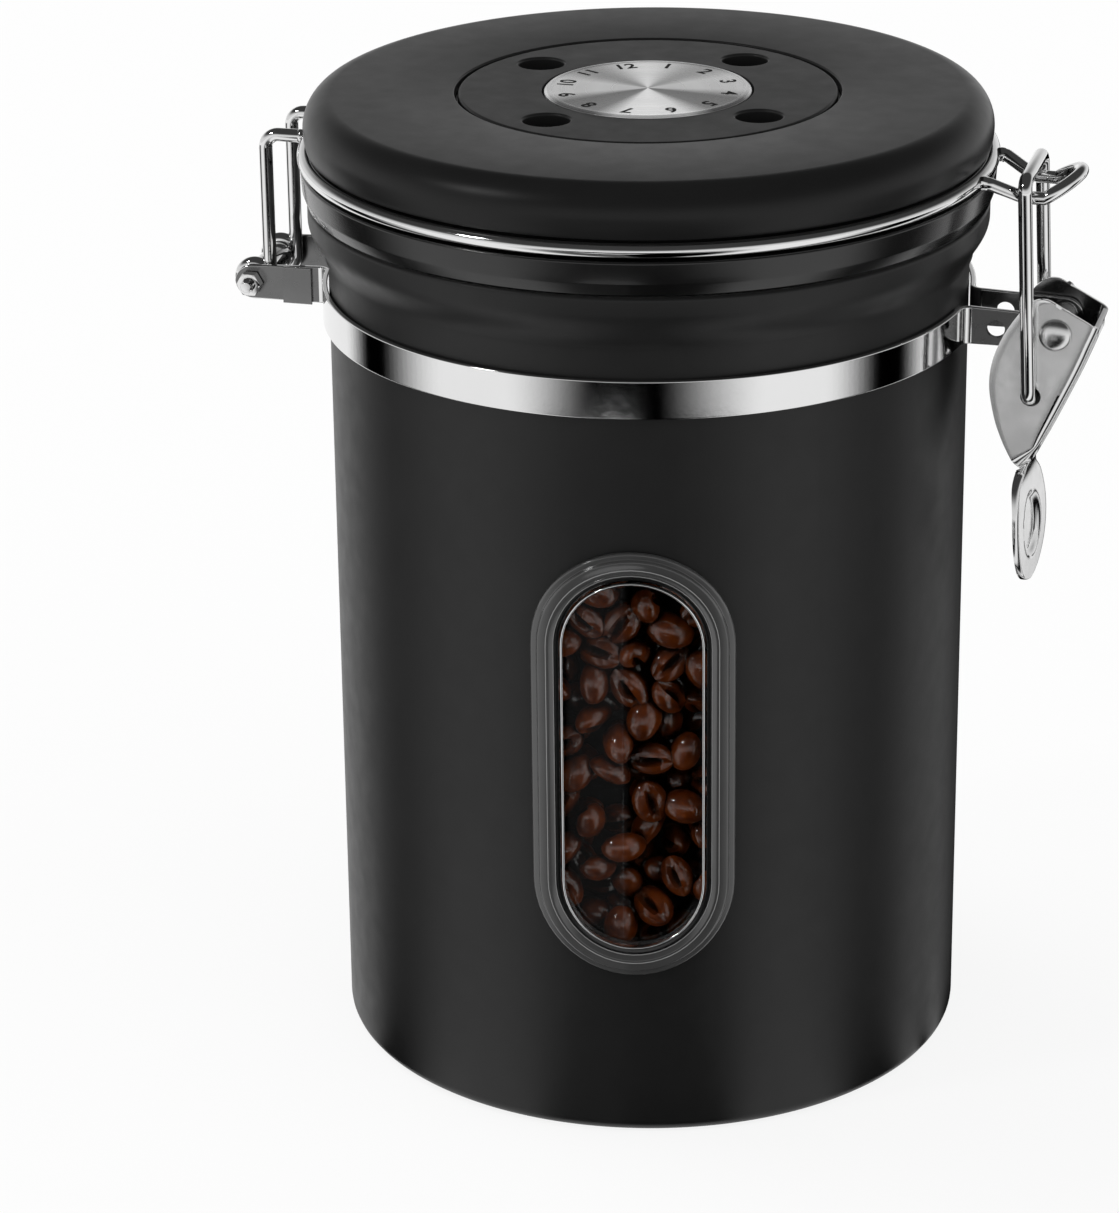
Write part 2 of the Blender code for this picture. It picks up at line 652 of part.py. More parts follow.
def hinge_hardware():
    """Bolt, nut and the sleeve that keeps the lid's two wires apart."""
    ear_face = HINGE_EAR_SPREAD + BAND_THICKNESS / 2
    x = -HINGE_REACH
    nut_face = ear_face + FIT_GAP
    shank_end = nut_face + NUT_HEIGHT + BOLT_TIP
    head_start = ear_face + FIT_GAP
    section = [(0, head_start + BOLT_HEAD_HEIGHT)]
    dome = (0, head_start)
    section += arc(dome, (BOLT_HEAD_RADIUS, BOLT_HEAD_HEIGHT), math.radians(60), 0, 3)
    section += [(BOLT_RADIUS, head_start), (BOLT_RADIUS, -shank_end + BOLT_TIP / 4)]
    section += [(BOLT_RADIUS - BOLT_TIP / 4, -shank_end), (0, -shank_end)]
    bolt = turned("hinge_bolt", section, SMALL_STEPS, CHROME)
    bolt.matrix_world = across(x, 0, EAR_CENTRE) @ Matrix.Rotation(math.pi, 4, "X")
    nut_place = across(x, -nut_face - NUT_HEIGHT / 2, EAR_CENTRE)
    nut = rod("hinge_nut", NUT_RADIUS, NUT_HEIGHT, nut_place, 6, CHROME)
    bore = rod("nut_bore", BOLT_RADIUS + FIT_GAP, NUT_HEIGHT + OVERRUN, nut_place)
    join(nut, bore, "DIFFERENCE")
    inner = BOLT_RADIUS + FIT_GAP
    half = HINGE_WIRE_SPREAD - RING_WIRE - FIT_GAP
    section = [(inner, half), (inner + SLEEVE_WALL, half)]
    section += [(inner + SLEEVE_WALL, -half), (inner, -half)]
    sleeve = turned("hinge_sleeve", section, SMALL_STEPS, CHROME)
    sleeve.matrix_world = across(x, 0, EAR_CENTRE)


def lid_shell():
    """The coated steel dome with its turned-in skirt and the opening for the vent disc."""
    hole = DISC_RADIUS + FIT_GAP * 2
    flat = LID_RADIUS - LID_EDGE_RUN
    skirt = SHELL_FOOT + LID_SKIRT
    rise = LID_HEIGHT - LID_SKIRT
    quarter = math.pi / 2
    section = [(hole, LID_TOP)]
    section += arc((flat, skirt), (LID_EDGE_RUN, rise), quarter, 0, 6)
    section += [(LID_RADIUS - LID_TUCK / 4, SHELL_FOOT + LID_SKIRT / 3)]
    section += [(LID_RADIUS - LID_TUCK, SHELL_FOOT)]
    section += [(LID_RADIUS - LID_TUCK - SHELL_WALL, SHELL_FOOT)]
    inner_run = LID_EDGE_RUN - SHELL_WALL
    section += arc((flat, skirt), (inner_run, rise - SHELL_WALL), 0, quarter, 3)
    section += [(hole + SHELL_WALL, LID_TOP - SHELL_WALL)]
    section += [(hole + SHELL_WALL, LID_TOP - LIP_DEPTH), (hole, LID_TOP - LIP_DEPTH)]
    return turned("lid_shell", section, look=BLACK_COAT)


def lid_base():
    """The moulded base: disc seat, shoulder, wire groove, flange and a ledge for the liner."""
    seat_top = DISC_FOOT - FIT_GAP
    seat_inner = DISC_RADIUS - FIT_GAP * 3
    seat_outer = seat_inner + SEAT_WIDTH
    shoulder = LID_TOP - SHOULDER_DROP
    neck = RING_RADIUS - RING_WIRE - FIT_GAP
    shoulder_radius = LID_RADIUS - LID_TUCK - SHELL_WALL - FIT_GAP
    section = [(seat_inner, seat_top), (seat_outer, seat_top), (seat_outer, shoulder)]
    section += [(shoulder_radius - FIT_GAP, shoulder), (neck, SHELL_FOOT)]
    section += [(neck, FLANGE_TOP)]
    crown = (FLANGE_RADIUS - FLANGE_ROUND, FLANGE_TOP - FLANGE_ROUND)
    section += arc(crown, (FLANGE_ROUND, FLANGE_ROUND), math.pi / 2, 0, 2)
    section += [(FLANGE_RADIUS - FLANGE_DRAFT / 4, LID_FOOT + FLANGE_HEIGHT / 3)]
    section += [(FLANGE_RADIUS - FLANGE_DRAFT, LID_FOOT)]
    recess = GASKET_OUTER + FIT_GAP
    ledge = PLUG_RADIUS - LEDGE_WIDTH
    wall = neck - MOULD_WALL
    section += [(recess, LID_FOOT), (recess, LEDGE_FOOT), (ledge, LEDGE_FOOT)]
    section += [(ledge, LEDGE_FOOT + MOULD_WALL), (wall, LEDGE_FOOT + MOULD_WALL)]
    section += [(wall, shoulder - MOULD_WALL), (seat_inner, shoulder - MOULD_WALL)]
    return turned("lid_base", section, look=BLACK_PLASTIC)


def lid_liner():
    """The liner under the ledge: rim, tapered plug, ceiling and the valve's boss."""
    top = LEDGE_FOOT - FIT_GAP
    ceiling_top = CEILING + MOULD_WALL
    rim = GASKET_OUTER - GASKET_WIDTH - FIT_GAP
    ledge = PLUG_RADIUS - LEDGE_WIDTH
    bore = VALVE_RADIUS + FIT_GAP
    boss = bore + BOSS_WALL
    section = [(bore, CHAMBER), (boss, CHAMBER), (boss, ceiling_top), (ledge, ceiling_top)]
    section += [(ledge, top), (rim, top), (rim, LID_FOOT)]
    shoulder = LID_FOOT - FIT_GAP
    waist = LID_FOOT - PLUG_DEPTH * 3 / 5
    waist_radius = PLUG_RADIUS - PLUG_TAPER * 2 / 3
    tip = PLUG_RADIUS - PLUG_TAPER
    section += [(PLUG_RADIUS, shoulder), (waist_radius, waist), (tip, PLUG_FOOT + PLUG_ROUND)]
    section += [(tip - PLUG_ROUND, PLUG_FOOT), (tip - PLUG_WALL - PLUG_ROUND, PLUG_FOOT)]
    lean = (PLUG_RADIUS - waist_radius) / (shoulder - waist)
    section += [(waist_radius - PLUG_WALL, waist)]
    section += [(PLUG_RADIUS - PLUG_WALL - lean * (shoulder - CEILING), CEILING)]
    section += [(boss, CEILING), (boss, BOSS_FOOT), (bore, BOSS_FOOT)]
    return turned("lid_liner", section, look=BLACK_PLASTIC)


def lid_gasket():
    """The flat silicone seal that the rim presses into the base's recess."""
    foot = RIM_HEIGHT + FIT_GAP
    top = LEDGE_FOOT - FIT_GAP
    inner = GASKET_OUTER - GASKET_WIDTH
    round_off = GASKET_THICKNESS / 3
    section = [(inner, top), (GASKET_OUTER, top), (GASKET_OUTER, foot + round_off)]
    section += [(GASKET_OUTER - round_off, foot), (inner + round_off, foot)]
    section += [(inner, foot + round_off)]
    return turned("lid_gasket", section, look=RUBBER)


def vent_disc():
    """The inset disc with four vents and a round recess for the dial."""
    recess = DIAL_RADIUS + FIT_GAP * 1.5
    floor = DIAL_FOOT - FIT_GAP
    bore = PIN_RADIUS + FIT_GAP
    step = DISC_RADIUS - FIT_GAP * 4
    chamfer = DISC_THICKNESS / 5
    section = [(recess, DISC_TOP), (DISC_RADIUS - chamfer, DISC_TOP)]
    section += [(DISC_RADIUS, DISC_TOP - chamfer), (DISC_RADIUS, DISC_FOOT)]
    section += [(step, DISC_FOOT), (step, DISC_FOOT - DISC_BOSS)]
    section += [(bore, DISC_FOOT - DISC_BOSS), (bore, floor), (recess, floor)]
    disc = turned("vent_disc", section, look=BLACK_COAT)
    depth = (DISC_THICKNESS + DISC_BOSS + OVERRUN) * 2
    for i in range(VENT_COUNT):
        angle = VENT_TURN + math.tau * i / VENT_COUNT
        spot = (VENT_REACH * math.cos(angle), VENT_REACH * math.sin(angle), DISC_FOOT)
        drill = rod("vent_" + str(i), VENT_RADIUS, depth, Matrix.Translation(spot))
        join(disc, drill, "DIFFERENCE")
    return disc


def dial_parts():
    """The turning date dial, its pin and the clip that holds it under the disc."""
    section = [(0, DIAL_TOP), (DIAL_RADIUS - DIAL_BEVEL * 2, DIAL_TOP)]
    section += [(DIAL_RADIUS - DIAL_BEVEL, DIAL_TOP), (DIAL_RADIUS, DIAL_TOP - DIAL_BEVEL)]
    section += [(DIAL_RADIUS, DIAL_FOOT), (0, DIAL_FOOT)]
    turned("date_dial", section, FINE_STEPS, BRUSHED)
    top = DIAL_FOOT - FIT_GAP
    foot = top - PIN_LENGTH
    section = [(0, top), (PIN_RADIUS, top), (PIN_RADIUS, foot + PIN_HEAD_HEIGHT)]
    section += [(PIN_HEAD_RADIUS, foot + PIN_HEAD_HEIGHT)]
    section += [(PIN_HEAD_RADIUS - PIN_HEAD_HEIGHT / 2, foot), (0, foot)]
    turned("dial_pin", section, SMALL_STEPS, BLACK_PLASTIC)
    bore = PIN_RADIUS + FIT_GAP
    seat = foot + PIN_HEAD_HEIGHT + FIT_GAP
    clip_top = seat + CLIP_THICKNESS
    section = [(bore, clip_top), (CLIP_RADIUS, clip_top), (CLIP_RADIUS, seat), (bore, seat)]
    turned("dial_clip", section, SMALL_STEPS, BLACK_PLASTIC)


def valve():
    """The one-way valve: body, flap and the holed cap on the plug's underside."""
    flange_top = BOSS_FOOT - FIT_GAP
    foot = flange_top - VALVE_FLANGE_HEIGHT
    seat = foot + VALVE_SEAT_RISE
    bore = VALVE_RADIUS - VALVE_WALL
    top = CHAMBER - VALVE_TOP_DROP
    section = [(bore, top), (VALVE_RADIUS, top), (VALVE_RADIUS, flange_top)]
    section += [(VALVE_FLANGE, flange_top), (VALVE_FLANGE, foot), (bore, foot), (bore, seat)]
    section += [(VALVE_PORT_RADIUS, seat), (VALVE_PORT_RADIUS, seat + VALVE_SEAT_THICKNESS)]
    section += [(bore, seat + VALVE_SEAT_THICKNESS)]
    turned("valve_body", section, SMALL_STEPS + ARC_STEPS, BLACK_PLASTIC)
    flap_top = seat - FIT_GAP
    flap_foot = flap_top - MEMBRANE_THICKNESS
    flap = bore - MEMBRANE_MARGIN
    section = [(0, flap_top), (flap, flap_top), (flap, flap_foot), (0, flap_foot)]
    turned("valve_membrane", section, SMALL_STEPS, SILICONE)
    cap_top = flap_foot - FIT_GAP
    cap_foot = cap_top - VALVE_CAP_THICKNESS
    cap_radius = bore - FIT_GAP
    section = [(0, cap_top), (cap_radius, cap_top), (cap_radius, cap_foot), (0, cap_foot)]
    cap = turned("valve_cap", section, SMALL_STEPS, BLACK_PLASTIC)
    depth = VALVE_CAP_THICKNESS + OVERRUN
    for i in range(VALVE_CAP_HOLES):
        angle = math.tau * i / VALVE_CAP_HOLES
        x = VALVE_CAP_HOLE_REACH * math.cos(angle)
        y = VALVE_CAP_HOLE_REACH * math.sin(angle)
        place = Matrix.Translation((x, y, cap_foot + VALVE_CAP_THICKNESS / 2))
        drill = rod("cap_hole_" + str(i), VALVE_CAP_HOLE_RADIUS, depth, place, SMALL_STEPS // 2)
        join(cap, drill, "DIFFERENCE")


def ring_edge(spread, gap):
    """How far out the ring wire's outer side lies at a given y, plus a gap."""
    return math.sqrt(RING_RADIUS ** 2 - spread ** 2) + RING_WIRE + gap


def lid_wires():
    """The ring in the groove, the two hinge wires with their eyes, and the catch."""
    points = []
    for i in range(TURN_STEPS):
        angle = math.tau * i / TURN_STEPS
        points.append((RING_RADIUS * math.cos(angle), RING_RADIUS * math.sin(angle), RING_HEIGHT))
    wire("ring_wire", points, RING_WIRE, closed=True)

    start = -ring_edge(HINGE_WIRE_SPREAD, FIT_GAP)
    leg = -HINGE_REACH + EYE_RADIUS
    for name, side in (("hinge_wire_front", -1), ("hinge_wire_rear", 1)):
        y = side * HINGE_WIRE_SPREAD
        corners = [(start, y, RING_HEIGHT), (leg, y, RING_HEIGHT), (leg, y, EAR_CENTRE)]
        points = bent(corners, HINGE_WIRE_BEND)
        sweep = math.tau - EYE_OPENING
        steps = ARC_STEPS * 4
        for k in range(1, steps + 1):
            angle = -sweep * k / steps
            x = -HINGE_REACH + EYE_RADIUS * math.cos(angle)
            points.append((x, y, EAR_CENTRE + EYE_RADIUS * math.sin(angle)))
        wire(name, points, RING_WIRE)

    root = ring_edge(CATCH_ROOT_SPREAD, FIT_GAP)
    side = bent([
        (root, CATCH_ROOT_SPREAD, RING_HEIGHT),
        (root + CATCH_STUB, CATCH_ROOT_SPREAD, RING_HEIGHT),
        (CATCH_NECK, CATCH_SPREAD, CATCH_HEIGHT),
        (CATCH_FLAT_END, CATCH_SPREAD, CATCH_HEIGHT),
    ], CATCH_BEND)
    quarter = []
    for x, y in arc((0, 0), (1, 1), math.pi / 2, 0, CATCH_STEPS)[1:]:
        rise = CATCH_HEIGHT + CATCH_TIP_RISE * x
        quarter.append(Vector((CATCH_FLAT_END + CATCH_TIP_RUN * x, CATCH_SPREAD * y, rise)))
    side += quarter[:-1]
    other = [Vector((spot.x, -spot.y, spot.z)) for spot in side]
    wire("catch_wire", side + quarter[-1:] + list(reversed(other)), CATCH_WIRE)


def lever():
    """The stamped lever: web and thumb tab from two outlines, plus two cheeks."""
    def place(share):
        return (PIVOT_REACH + share[0] * LEVER_SPAN, EAR_CENTRE + share[1] * LEVER_SPAN)

    spine = smooth([place(share) for share in SPINE_SHARES], 2)
    outer = []
    inner = []
    for i, spot in enumerate(spine):
        back = Vector(spine[max(i - 1, 0)])
        ahead = Vector(spine[min(i + 1, len(spine) - 1)])
        way = (ahead - back).normalized()
        normal = Vector((way[1], -way[0]))
        drop = (EAR_CENTRE - spot[1]) / LEVER_SPAN
        grow = min(max((drop - CHANNEL_END_SHARE) / (TAB_START_SHARE - CHANNEL_END_SHARE), 0), 1)
        thickness = WEB_THICKNESS + (TAB_THICKNESS - WEB_THICKNESS) * grow
        outer.append(spot)
        inner.append(tuple(Vector(spot) + normal * thickness))
    width = CHEEK_OUTER * 2
    strip_outline = outer + list(reversed(inner))
    full = (CHEEK_OUTER + TAB_HALF_WIDTH) * 2
    made = extruded("latch_lever", strip_outline, full, side_view(), look=CHROME)

    top = EAR_CENTRE + LEVER_SPAN / 4
    foot = EAR_CENTRE - TAB_CENTRE_DROP - TAB_HALF_LENGTH
    neck_start = EAR_CENTRE - CHANNEL_END_SHARE * LEVER_SPAN
    neck_end = EAR_CENTRE - NECK_START_SHARE * LEVER_SPAN
    centre = EAR_CENTRE - TAB_CENTRE_DROP
    half = []
    for i in range(LEVER_STEPS + 1):
        drop = (1 - math.cos(math.pi * i / LEVER_STEPS)) / 2
        z = neck_start + (foot - neck_start) * drop
        slide = min(max((neck_start - z) / (neck_start - neck_end), 0), 1)
        ease = (1 - math.cos(math.pi * slide)) / 2
        neck = CHEEK_OUTER + (NECK_HALF_WIDTH - CHEEK_OUTER) * ease
        lift = abs(z - centre) / TAB_HALF_LENGTH
        tab = TAB_HALF_WIDTH * math.sqrt(max(1 - lift * lift, 0))
        if z > centre:
            tab = max(tab, neck)
        half.append((tab, z))
    right = [(CHEEK_OUTER, top)] + half
    left = [(-y, z) for y, z in reversed(right)]
    middle = PIVOT_REACH
    trim = extruded("lever_front", right + left[1:], width * 2, front_view(middle))
    join(made, trim, "INTERSECT")

    cheek = smooth([place(share) for share in CHEEK_SHARES], 2, closed=True)
    for label, side in (("front", -1), ("rear", 1)):
        y = side * (CHEEK_INNER + LEVER_SHEET / 2)
        plate = extruded("cheek_" + label, cheek, LEVER_SHEET, side_view(y))
        join(made, plate, "UNION")
    pivot_radius = RIVET_RADIUS + FIT_GAP
    pivot = rod("lever_pivot_bore", pivot_radius, full, across(PIVOT_REACH, 0, EAR_CENTRE))
    join(made, pivot, "DIFFERENCE")
    hole_radius = LOOP_WIRE + LOOP_HOLE_MARGIN
    hole_place = across(LOOP_HOLE_REACH, 0, LOOP_HOLE_HEIGHT)
    join(made, rod("lever_loop_bore", hole_radius, full, hole_place), "DIFFERENCE")

    face = max(x for x, z in spine if abs(z - centre) < TAB_HALF_LENGTH / 2)
    ball = bpy.data.meshes.new("lever_dish_ball")
    work = bmesh.new()
    bmesh.ops.create_uvsphere(work, u_segments=SMALL_STEPS, v_segments=ARC_STEPS * 2, radius=1)
    work.to_mesh(ball)
    work.free()
    dish = bpy.data.objects.new("lever_dish_ball", ball)
    CUTTERS.objects.link(dish)
    scale = Matrix.Diagonal((DISH_DEPTH, DISH_HALF_WIDTH, DISH_HALF_LENGTH, 1))
    dish.matrix_world = Matrix.Translation((face, 0, centre)) @ scale
    join(made, solid(dish, "lever_dish"), "DIFFERENCE")
    return made


def loop():
    """The closed wire link between the lever's cheeks and the catch."""
    y = LOOP_SPREAD
    corners = [
        (LOOP_BAR_REACH, -y, LOOP_BAR_HEIGHT), (LOOP_BAR_REACH, y, LOOP_BAR_HEIGHT),
        (LOOP_HOLE_REACH, y, LOOP_HOLE_HEIGHT), (LOOP_HOLE_REACH, -y, LOOP_HOLE_HEIGHT),
    ]
    return wire("latch_loop", bent(corners, LOOP_BEND, closed=True), LOOP_WIRE, closed=True)


def latch_rivet():
    """The pivot rivet with a domed head on each cheek, and the spacer between the ears."""
    face = CHEEK_OUTER + FIT_GAP
    head = (0, face)
    quarter = math.pi / 2
    dome = arc(head, (RIVET_HEAD_RADIUS, RIVET_HEAD_HEIGHT), quarter, 0, 3)
    section = dome + [(RIVET_RADIUS, face), (RIVET_RADIUS, -face)]
    section += [(r, -z) for r, z in reversed(dome)]
    section[0] = (0, section[0][1])
    section[-1] = (0, section[-1][1])
    rivet = turned("latch_rivet", section, SMALL_STEPS, CHROME)
    rivet.matrix_world = across(PIVOT_REACH, 0, EAR_CENTRE)
    inner = RIVET_RADIUS + FIT_GAP
    half = EAR_SPREAD - BAND_THICKNESS / 2 - FIT_GAP
    outer = inner + SPACER_WALL
    spacer = turned(
        "latch_spacer", [(inner, half), (outer, half), (outer, -half), (inner, -half)],
        SMALL_STEPS, CHROME,
    )
    spacer.matrix_world = across(PIVOT_REACH, 0, EAR_CENTRE)


def pivot_empty(name, place, pieces):
    """An empty on a joint's axis that carries the pieces of one moving body."""
    empty = bpy.data.objects.new(name, None)
    PARTS.objects.link(empty)
    empty.location = place
    bpy.context.view_layer.update()
    for piece in pieces:
        made = bpy.data.objects[piece]
        spot = made.matrix_world.copy()
        made.parent = empty
        made.matrix_parent_inverse = empty.matrix_world.inverted()
        made.matrix_world = spot
    return empty


canister_body()
collar()
window()
band("band_front", -1)
band("band_rear", 1)
hinge_hardware()
lid_shell()
lid_base()
lid_liner()
lid_gasket()
vent_disc()
dial_parts()
valve()
lid_wires()
lever()
loop()
latch_rivet()

LID_PIECES = (
    "lid_shell", "lid_base", "lid_liner", "lid_gasket", "vent_disc", "valve_body",
    "valve_membrane", "valve_cap", "ring_wire", "hinge_wire_front", "hinge_wire_rear",
    "catch_wire",
)
pivot_empty("lid_hinge", (-HINGE_REACH, 0, EAR_CENTRE), LID_PIECES)
pivot_empty("dial_spin", (0, 0, DIAL_FOOT), ("date_dial", "dial_pin", "dial_clip"))
pivot_empty("lever_pivot", (PIVOT_REACH, 0, EAR_CENTRE), ("latch_lever",))
pivot_empty("loop_pivot", (LOOP_HOLE_REACH, 0, LOOP_HOLE_HEIGHT), ("latch_loop",))
bpy.context.view_layer.update()
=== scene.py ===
"""The finished look of the bail-latch coffee canister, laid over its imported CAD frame.

Metres, +Z up, origin at the centre of the foot. The latch faces +X, the hinge is at
-X, and the window faces the front (-Y side), turned a little toward the latch. The
sizes repeat those of the CAD source, because every fine piece stands for its node.
"""

import math
import random

import bmesh
import bpy
from mathutils import Matrix, Vector, noise

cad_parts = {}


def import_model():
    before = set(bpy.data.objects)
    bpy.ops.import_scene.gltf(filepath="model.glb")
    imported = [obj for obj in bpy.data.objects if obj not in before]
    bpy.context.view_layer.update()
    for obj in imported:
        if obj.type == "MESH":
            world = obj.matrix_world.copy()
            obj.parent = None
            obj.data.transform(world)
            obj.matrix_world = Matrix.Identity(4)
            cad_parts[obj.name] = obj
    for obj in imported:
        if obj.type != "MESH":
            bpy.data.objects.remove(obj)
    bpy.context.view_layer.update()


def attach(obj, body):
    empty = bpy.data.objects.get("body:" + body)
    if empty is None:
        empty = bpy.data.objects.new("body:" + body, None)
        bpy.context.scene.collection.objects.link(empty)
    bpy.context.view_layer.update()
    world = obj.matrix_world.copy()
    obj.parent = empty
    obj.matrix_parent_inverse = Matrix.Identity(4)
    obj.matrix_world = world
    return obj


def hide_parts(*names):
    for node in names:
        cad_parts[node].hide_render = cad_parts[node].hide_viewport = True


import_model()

MM = 0.001

# Shared clearances and mesh steps
FIT_GAP = 0.3 * MM
OVERRUN = 2.0 * MM
WELD = 0.000001
LATHE_STEPS = 192
SMALL_LATHE_STEPS = 48
CORNER_STEPS = 6
WIRE_SIDES = 20
PANE_STEPS = 10
EAR_STEPS = 8
FOLD_STEPS = 10
EYE_STEPS = 40
LEVER_STEPS = 10
TIP_STEPS = 16
WEB_STEPS = 36
CHEEK_STEPS = 8
NUT_SIDES = 6
ARC_STEPS = 16
BEND_STEPS = 8
CURVE_STEPS = 6
SLOT_STEPS = 28
ROUND_STEPS = 6
HEAD_STEPS = 10
DOME_STEPS = 12
LID_EDGE_STEPS = 22
LID_INNER_STEPS = 10
SPREAD_ROUNDS = 40
NORMALS_WEIGHT = 100
STRAIGHT_ON = math.radians(178)
CREASE_ANGLE = math.radians(60)
SHARP_ANGLE = math.radians(32)
FLAT_COSINE = math.cos(math.radians(8))
QUARTER = math.pi / 2

# Can body and collar
BODY_RADIUS = 60.0 * MM
BODY_WALL = 0.6 * MM
RIM_HEIGHT = 166.4 * MM
BASE_RECESS = 2.4 * MM
FOOT_CORNER = 2.6 * MM
FOOT_WIDTH = 6.5 * MM
FOOT_SLOPE = 2.0 * MM
FOOT_EDGE = 0.6 * MM
FLOOR_FILLET = 3.0 * MM
COLLAR_PROUD = 3.6 * MM
COLLAR_HEIGHT = 10.2 * MM
COLLAR_FLARE = 7.0 * MM
COLLAR_LIP = 1.0 * MM
COLLAR_TIP = 0.4 * MM
COLLAR_ROUND = 0.8 * MM

# Window
WINDOW_TURN = math.radians(11.0)
WINDOW_RISE = 4.35 * MM
BEZEL_WIDTH = 37.2 * MM
BEZEL_LENGTH = 83.9 * MM
BEZEL_FLANGE = 5.2 * MM
BEZEL_RISE = 1.1 * MM
RIDGE_RISE = 0.7 * MM
RIDGE_INSET = 1.1 * MM
RIDGE_WIDTH = 2.2 * MM
NECK_WALL = 1.2 * MM
NECK_DEPTH = 3.4 * MM
PANE_THICKNESS = 1.4 * MM
PANE_SETBACK = 0.7 * MM
TRIM_WIDTH = 0.45 * MM
TRIM_THICKNESS = 0.9 * MM
STEP_WIDTH = 0.9 * MM
BEAD_GAP = 0.12 * MM
LINE_WIDTH = 0.14 * MM
SEAL_THICKNESS = 1.0 * MM
RETAINER_THICKNESS = 1.2 * MM
RETAINER_WIDTH = 3.2 * MM
SOFT_EDGE = 0.35 * MM
FINE_EDGE = 0.15 * MM
SHARP_EDGES = (0, 0, 0, 0)
FINE_EDGES = (FINE_EDGE, FINE_EDGE, FINE_EDGE, FINE_EDGE)
OUTER_EDGES = (0, FINE_EDGE, FINE_EDGE, 0)

# Band, ears and hinge hardware
BAND_DROP = 23.3 * MM
BAND_HEIGHT = 7.2 * MM
BAND_THICKNESS = 1.0 * MM
BAND_EDGE = 0.3 * MM
EAR_HEIGHT = 6.6 * MM
EAR_FOLD = 2.2 * MM
SPARE_HOLE_RADIUS = 1.7 * MM
SPARE_HOLE_INSET = 11.2 * MM
HINGE_STANDOFF = 10.5 * MM
HINGE_EAR_SPREAD = 9.9 * MM
BOLT_RADIUS = 1.3 * MM
BOLT_HEAD_RADIUS = 2.6 * MM
BOLT_HEAD_HEIGHT = 1.7 * MM
BOLT_TIP = 1.6 * MM
THREAD_PITCH = 0.55 * MM
THREAD_DEPTH = 0.15 * MM
NUT_RADIUS = 2.4 * MM
NUT_HEIGHT = 1.9 * MM
SLEEVE_WALL = 1.1 * MM
DOUBLER_THICKNESS = 0.6 * MM
DOUBLER_LENGTH = 5.6 * MM

# Lid
SEAL_SEAT = 0.5 * MM
FLANGE_PROUD = 0.7 * MM
FLANGE_HEIGHT = 6.3 * MM
FLANGE_DRAFT = 1.0 * MM
FLANGE_ROUND = 0.5 * MM
GROOVE_HEIGHT = 3.6 * MM
LID_PROUD = 0.4 * MM
LID_HEIGHT = 9.3 * MM
LID_SKIRT = 3.3 * MM
LID_EDGE_RUN = 5.35 * MM
LID_TUCK = 0.5 * MM
SHELL_WALL = 0.8 * MM
LIP_DEPTH = 1.6 * MM
GASKET_INSET = 0.5 * MM
GASKET_WIDTH = 5.6 * MM
GASKET_THICKNESS = 1.5 * MM
PLUG_CLEARANCE = 2.6 * MM
PLUG_DEPTH = 11.9 * MM
PLUG_TAPER = 7.2 * MM
PLUG_WALL = 2.6 * MM
PLUG_ROUND = 0.8 * MM
CEILING_RISE = 1.9 * MM
MOULD_WALL = 2.4 * MM
LEDGE_WIDTH = 6.8 * MM
CHAMBER_FLOOR = 4.1 * MM
SHOULDER_DROP = 7.5 * MM
DISC_RADIUS = 35.2 * MM
DISC_THICKNESS = 1.5 * MM
DISC_BOSS = 1.1 * MM
DISC_DROP = 0.1 * MM
SEAT_WIDTH = 3.4 * MM
VENT_RADIUS = 4.3 * MM
VENT_FLARE = 0.5 * MM
VENT_TURN = math.radians(61.6)
VENT_COUNT = 4

# Dial
DIAL_RADIUS = 19.2 * MM
DIAL_THICKNESS = 1.1 * MM
DIAL_PROUD = 0.3 * MM
DIAL_BEVEL = 0.45 * MM
DIAL_SINK = 0.08 * MM
PIN_RADIUS = 1.7 * MM
PIN_LENGTH = 5.0 * MM
PIN_HEAD_RADIUS = 3.0 * MM
PIN_HEAD_HEIGHT = 0.9 * MM
CLIP_RADIUS = 4.4 * MM
CLIP_THICKNESS = 0.9 * MM
NUMBER_SIZE = 4.3 * MM
NUMBER_BOLDNESS = 0.08 * MM
NUMBER_THICKNESS = 0.06 * MM
NUMBER_REACH_SHARE = 0.80
NUMBER_COUNT = 12

# Valve
VALVE_RADIUS = 8.7 * MM
VALVE_WALL = 1.5 * MM
VALVE_FLANGE = 12.0 * MM
VALVE_FLANGE_HEIGHT = 1.4 * MM
BOSS_WALL = 5.0 * MM
BOSS_DROP = 7.0 * MM
VALVE_SEAT_RISE = 4.2 * MM
VALVE_SEAT_THICKNESS = 1.2 * MM
VALVE_PORT_RADIUS = 2.4 * MM
VALVE_TOP_DROP = 0.8 * MM
MEMBRANE_THICKNESS = 0.8 * MM
MEMBRANE_MARGIN = 1.0 * MM
VALVE_CAP_THICKNESS = 1.6 * MM
VALVE_CAP_HOLE_RADIUS = 0.9 * MM
VALVE_CAP_HOLE_REACH = 4.2 * MM
VALVE_CAP_HOLES = 6

# Wire work
RING_INSET = 0.1 * MM
RING_WIRE = 1.3 * MM
HINGE_WIRE_SPREAD = 7.8 * MM
HINGE_WIRE_BEND = 2.6 * MM
EYE_OPENING = math.radians(52.0)
CATCH_WIRE = 1.2 * MM
CATCH_ROOT_SPREAD = 9.4 * MM
CATCH_SPREAD = 6.8 * MM
CATCH_DROP = 2.9 * MM
CATCH_SLOPE_RUN = 6.7 * MM
CATCH_FLAT_RUN = 4.0 * MM
CATCH_TIP_RUN = 5.6 * MM
CATCH_TIP_RISE = 3.5 * MM
CATCH_BEND = 4.0 * MM
CATCH_STUB = 0.8 * MM
WELD_BEAD = 1.5 * MM
BEAD_LUMPS = 1.7
BEAD_VARIETY = 900
RING_BEAD_SHARE = 1.08
CATCH_BEAD_SHARE = 1.1
SIDES = (("front", -1), ("rear", 1))

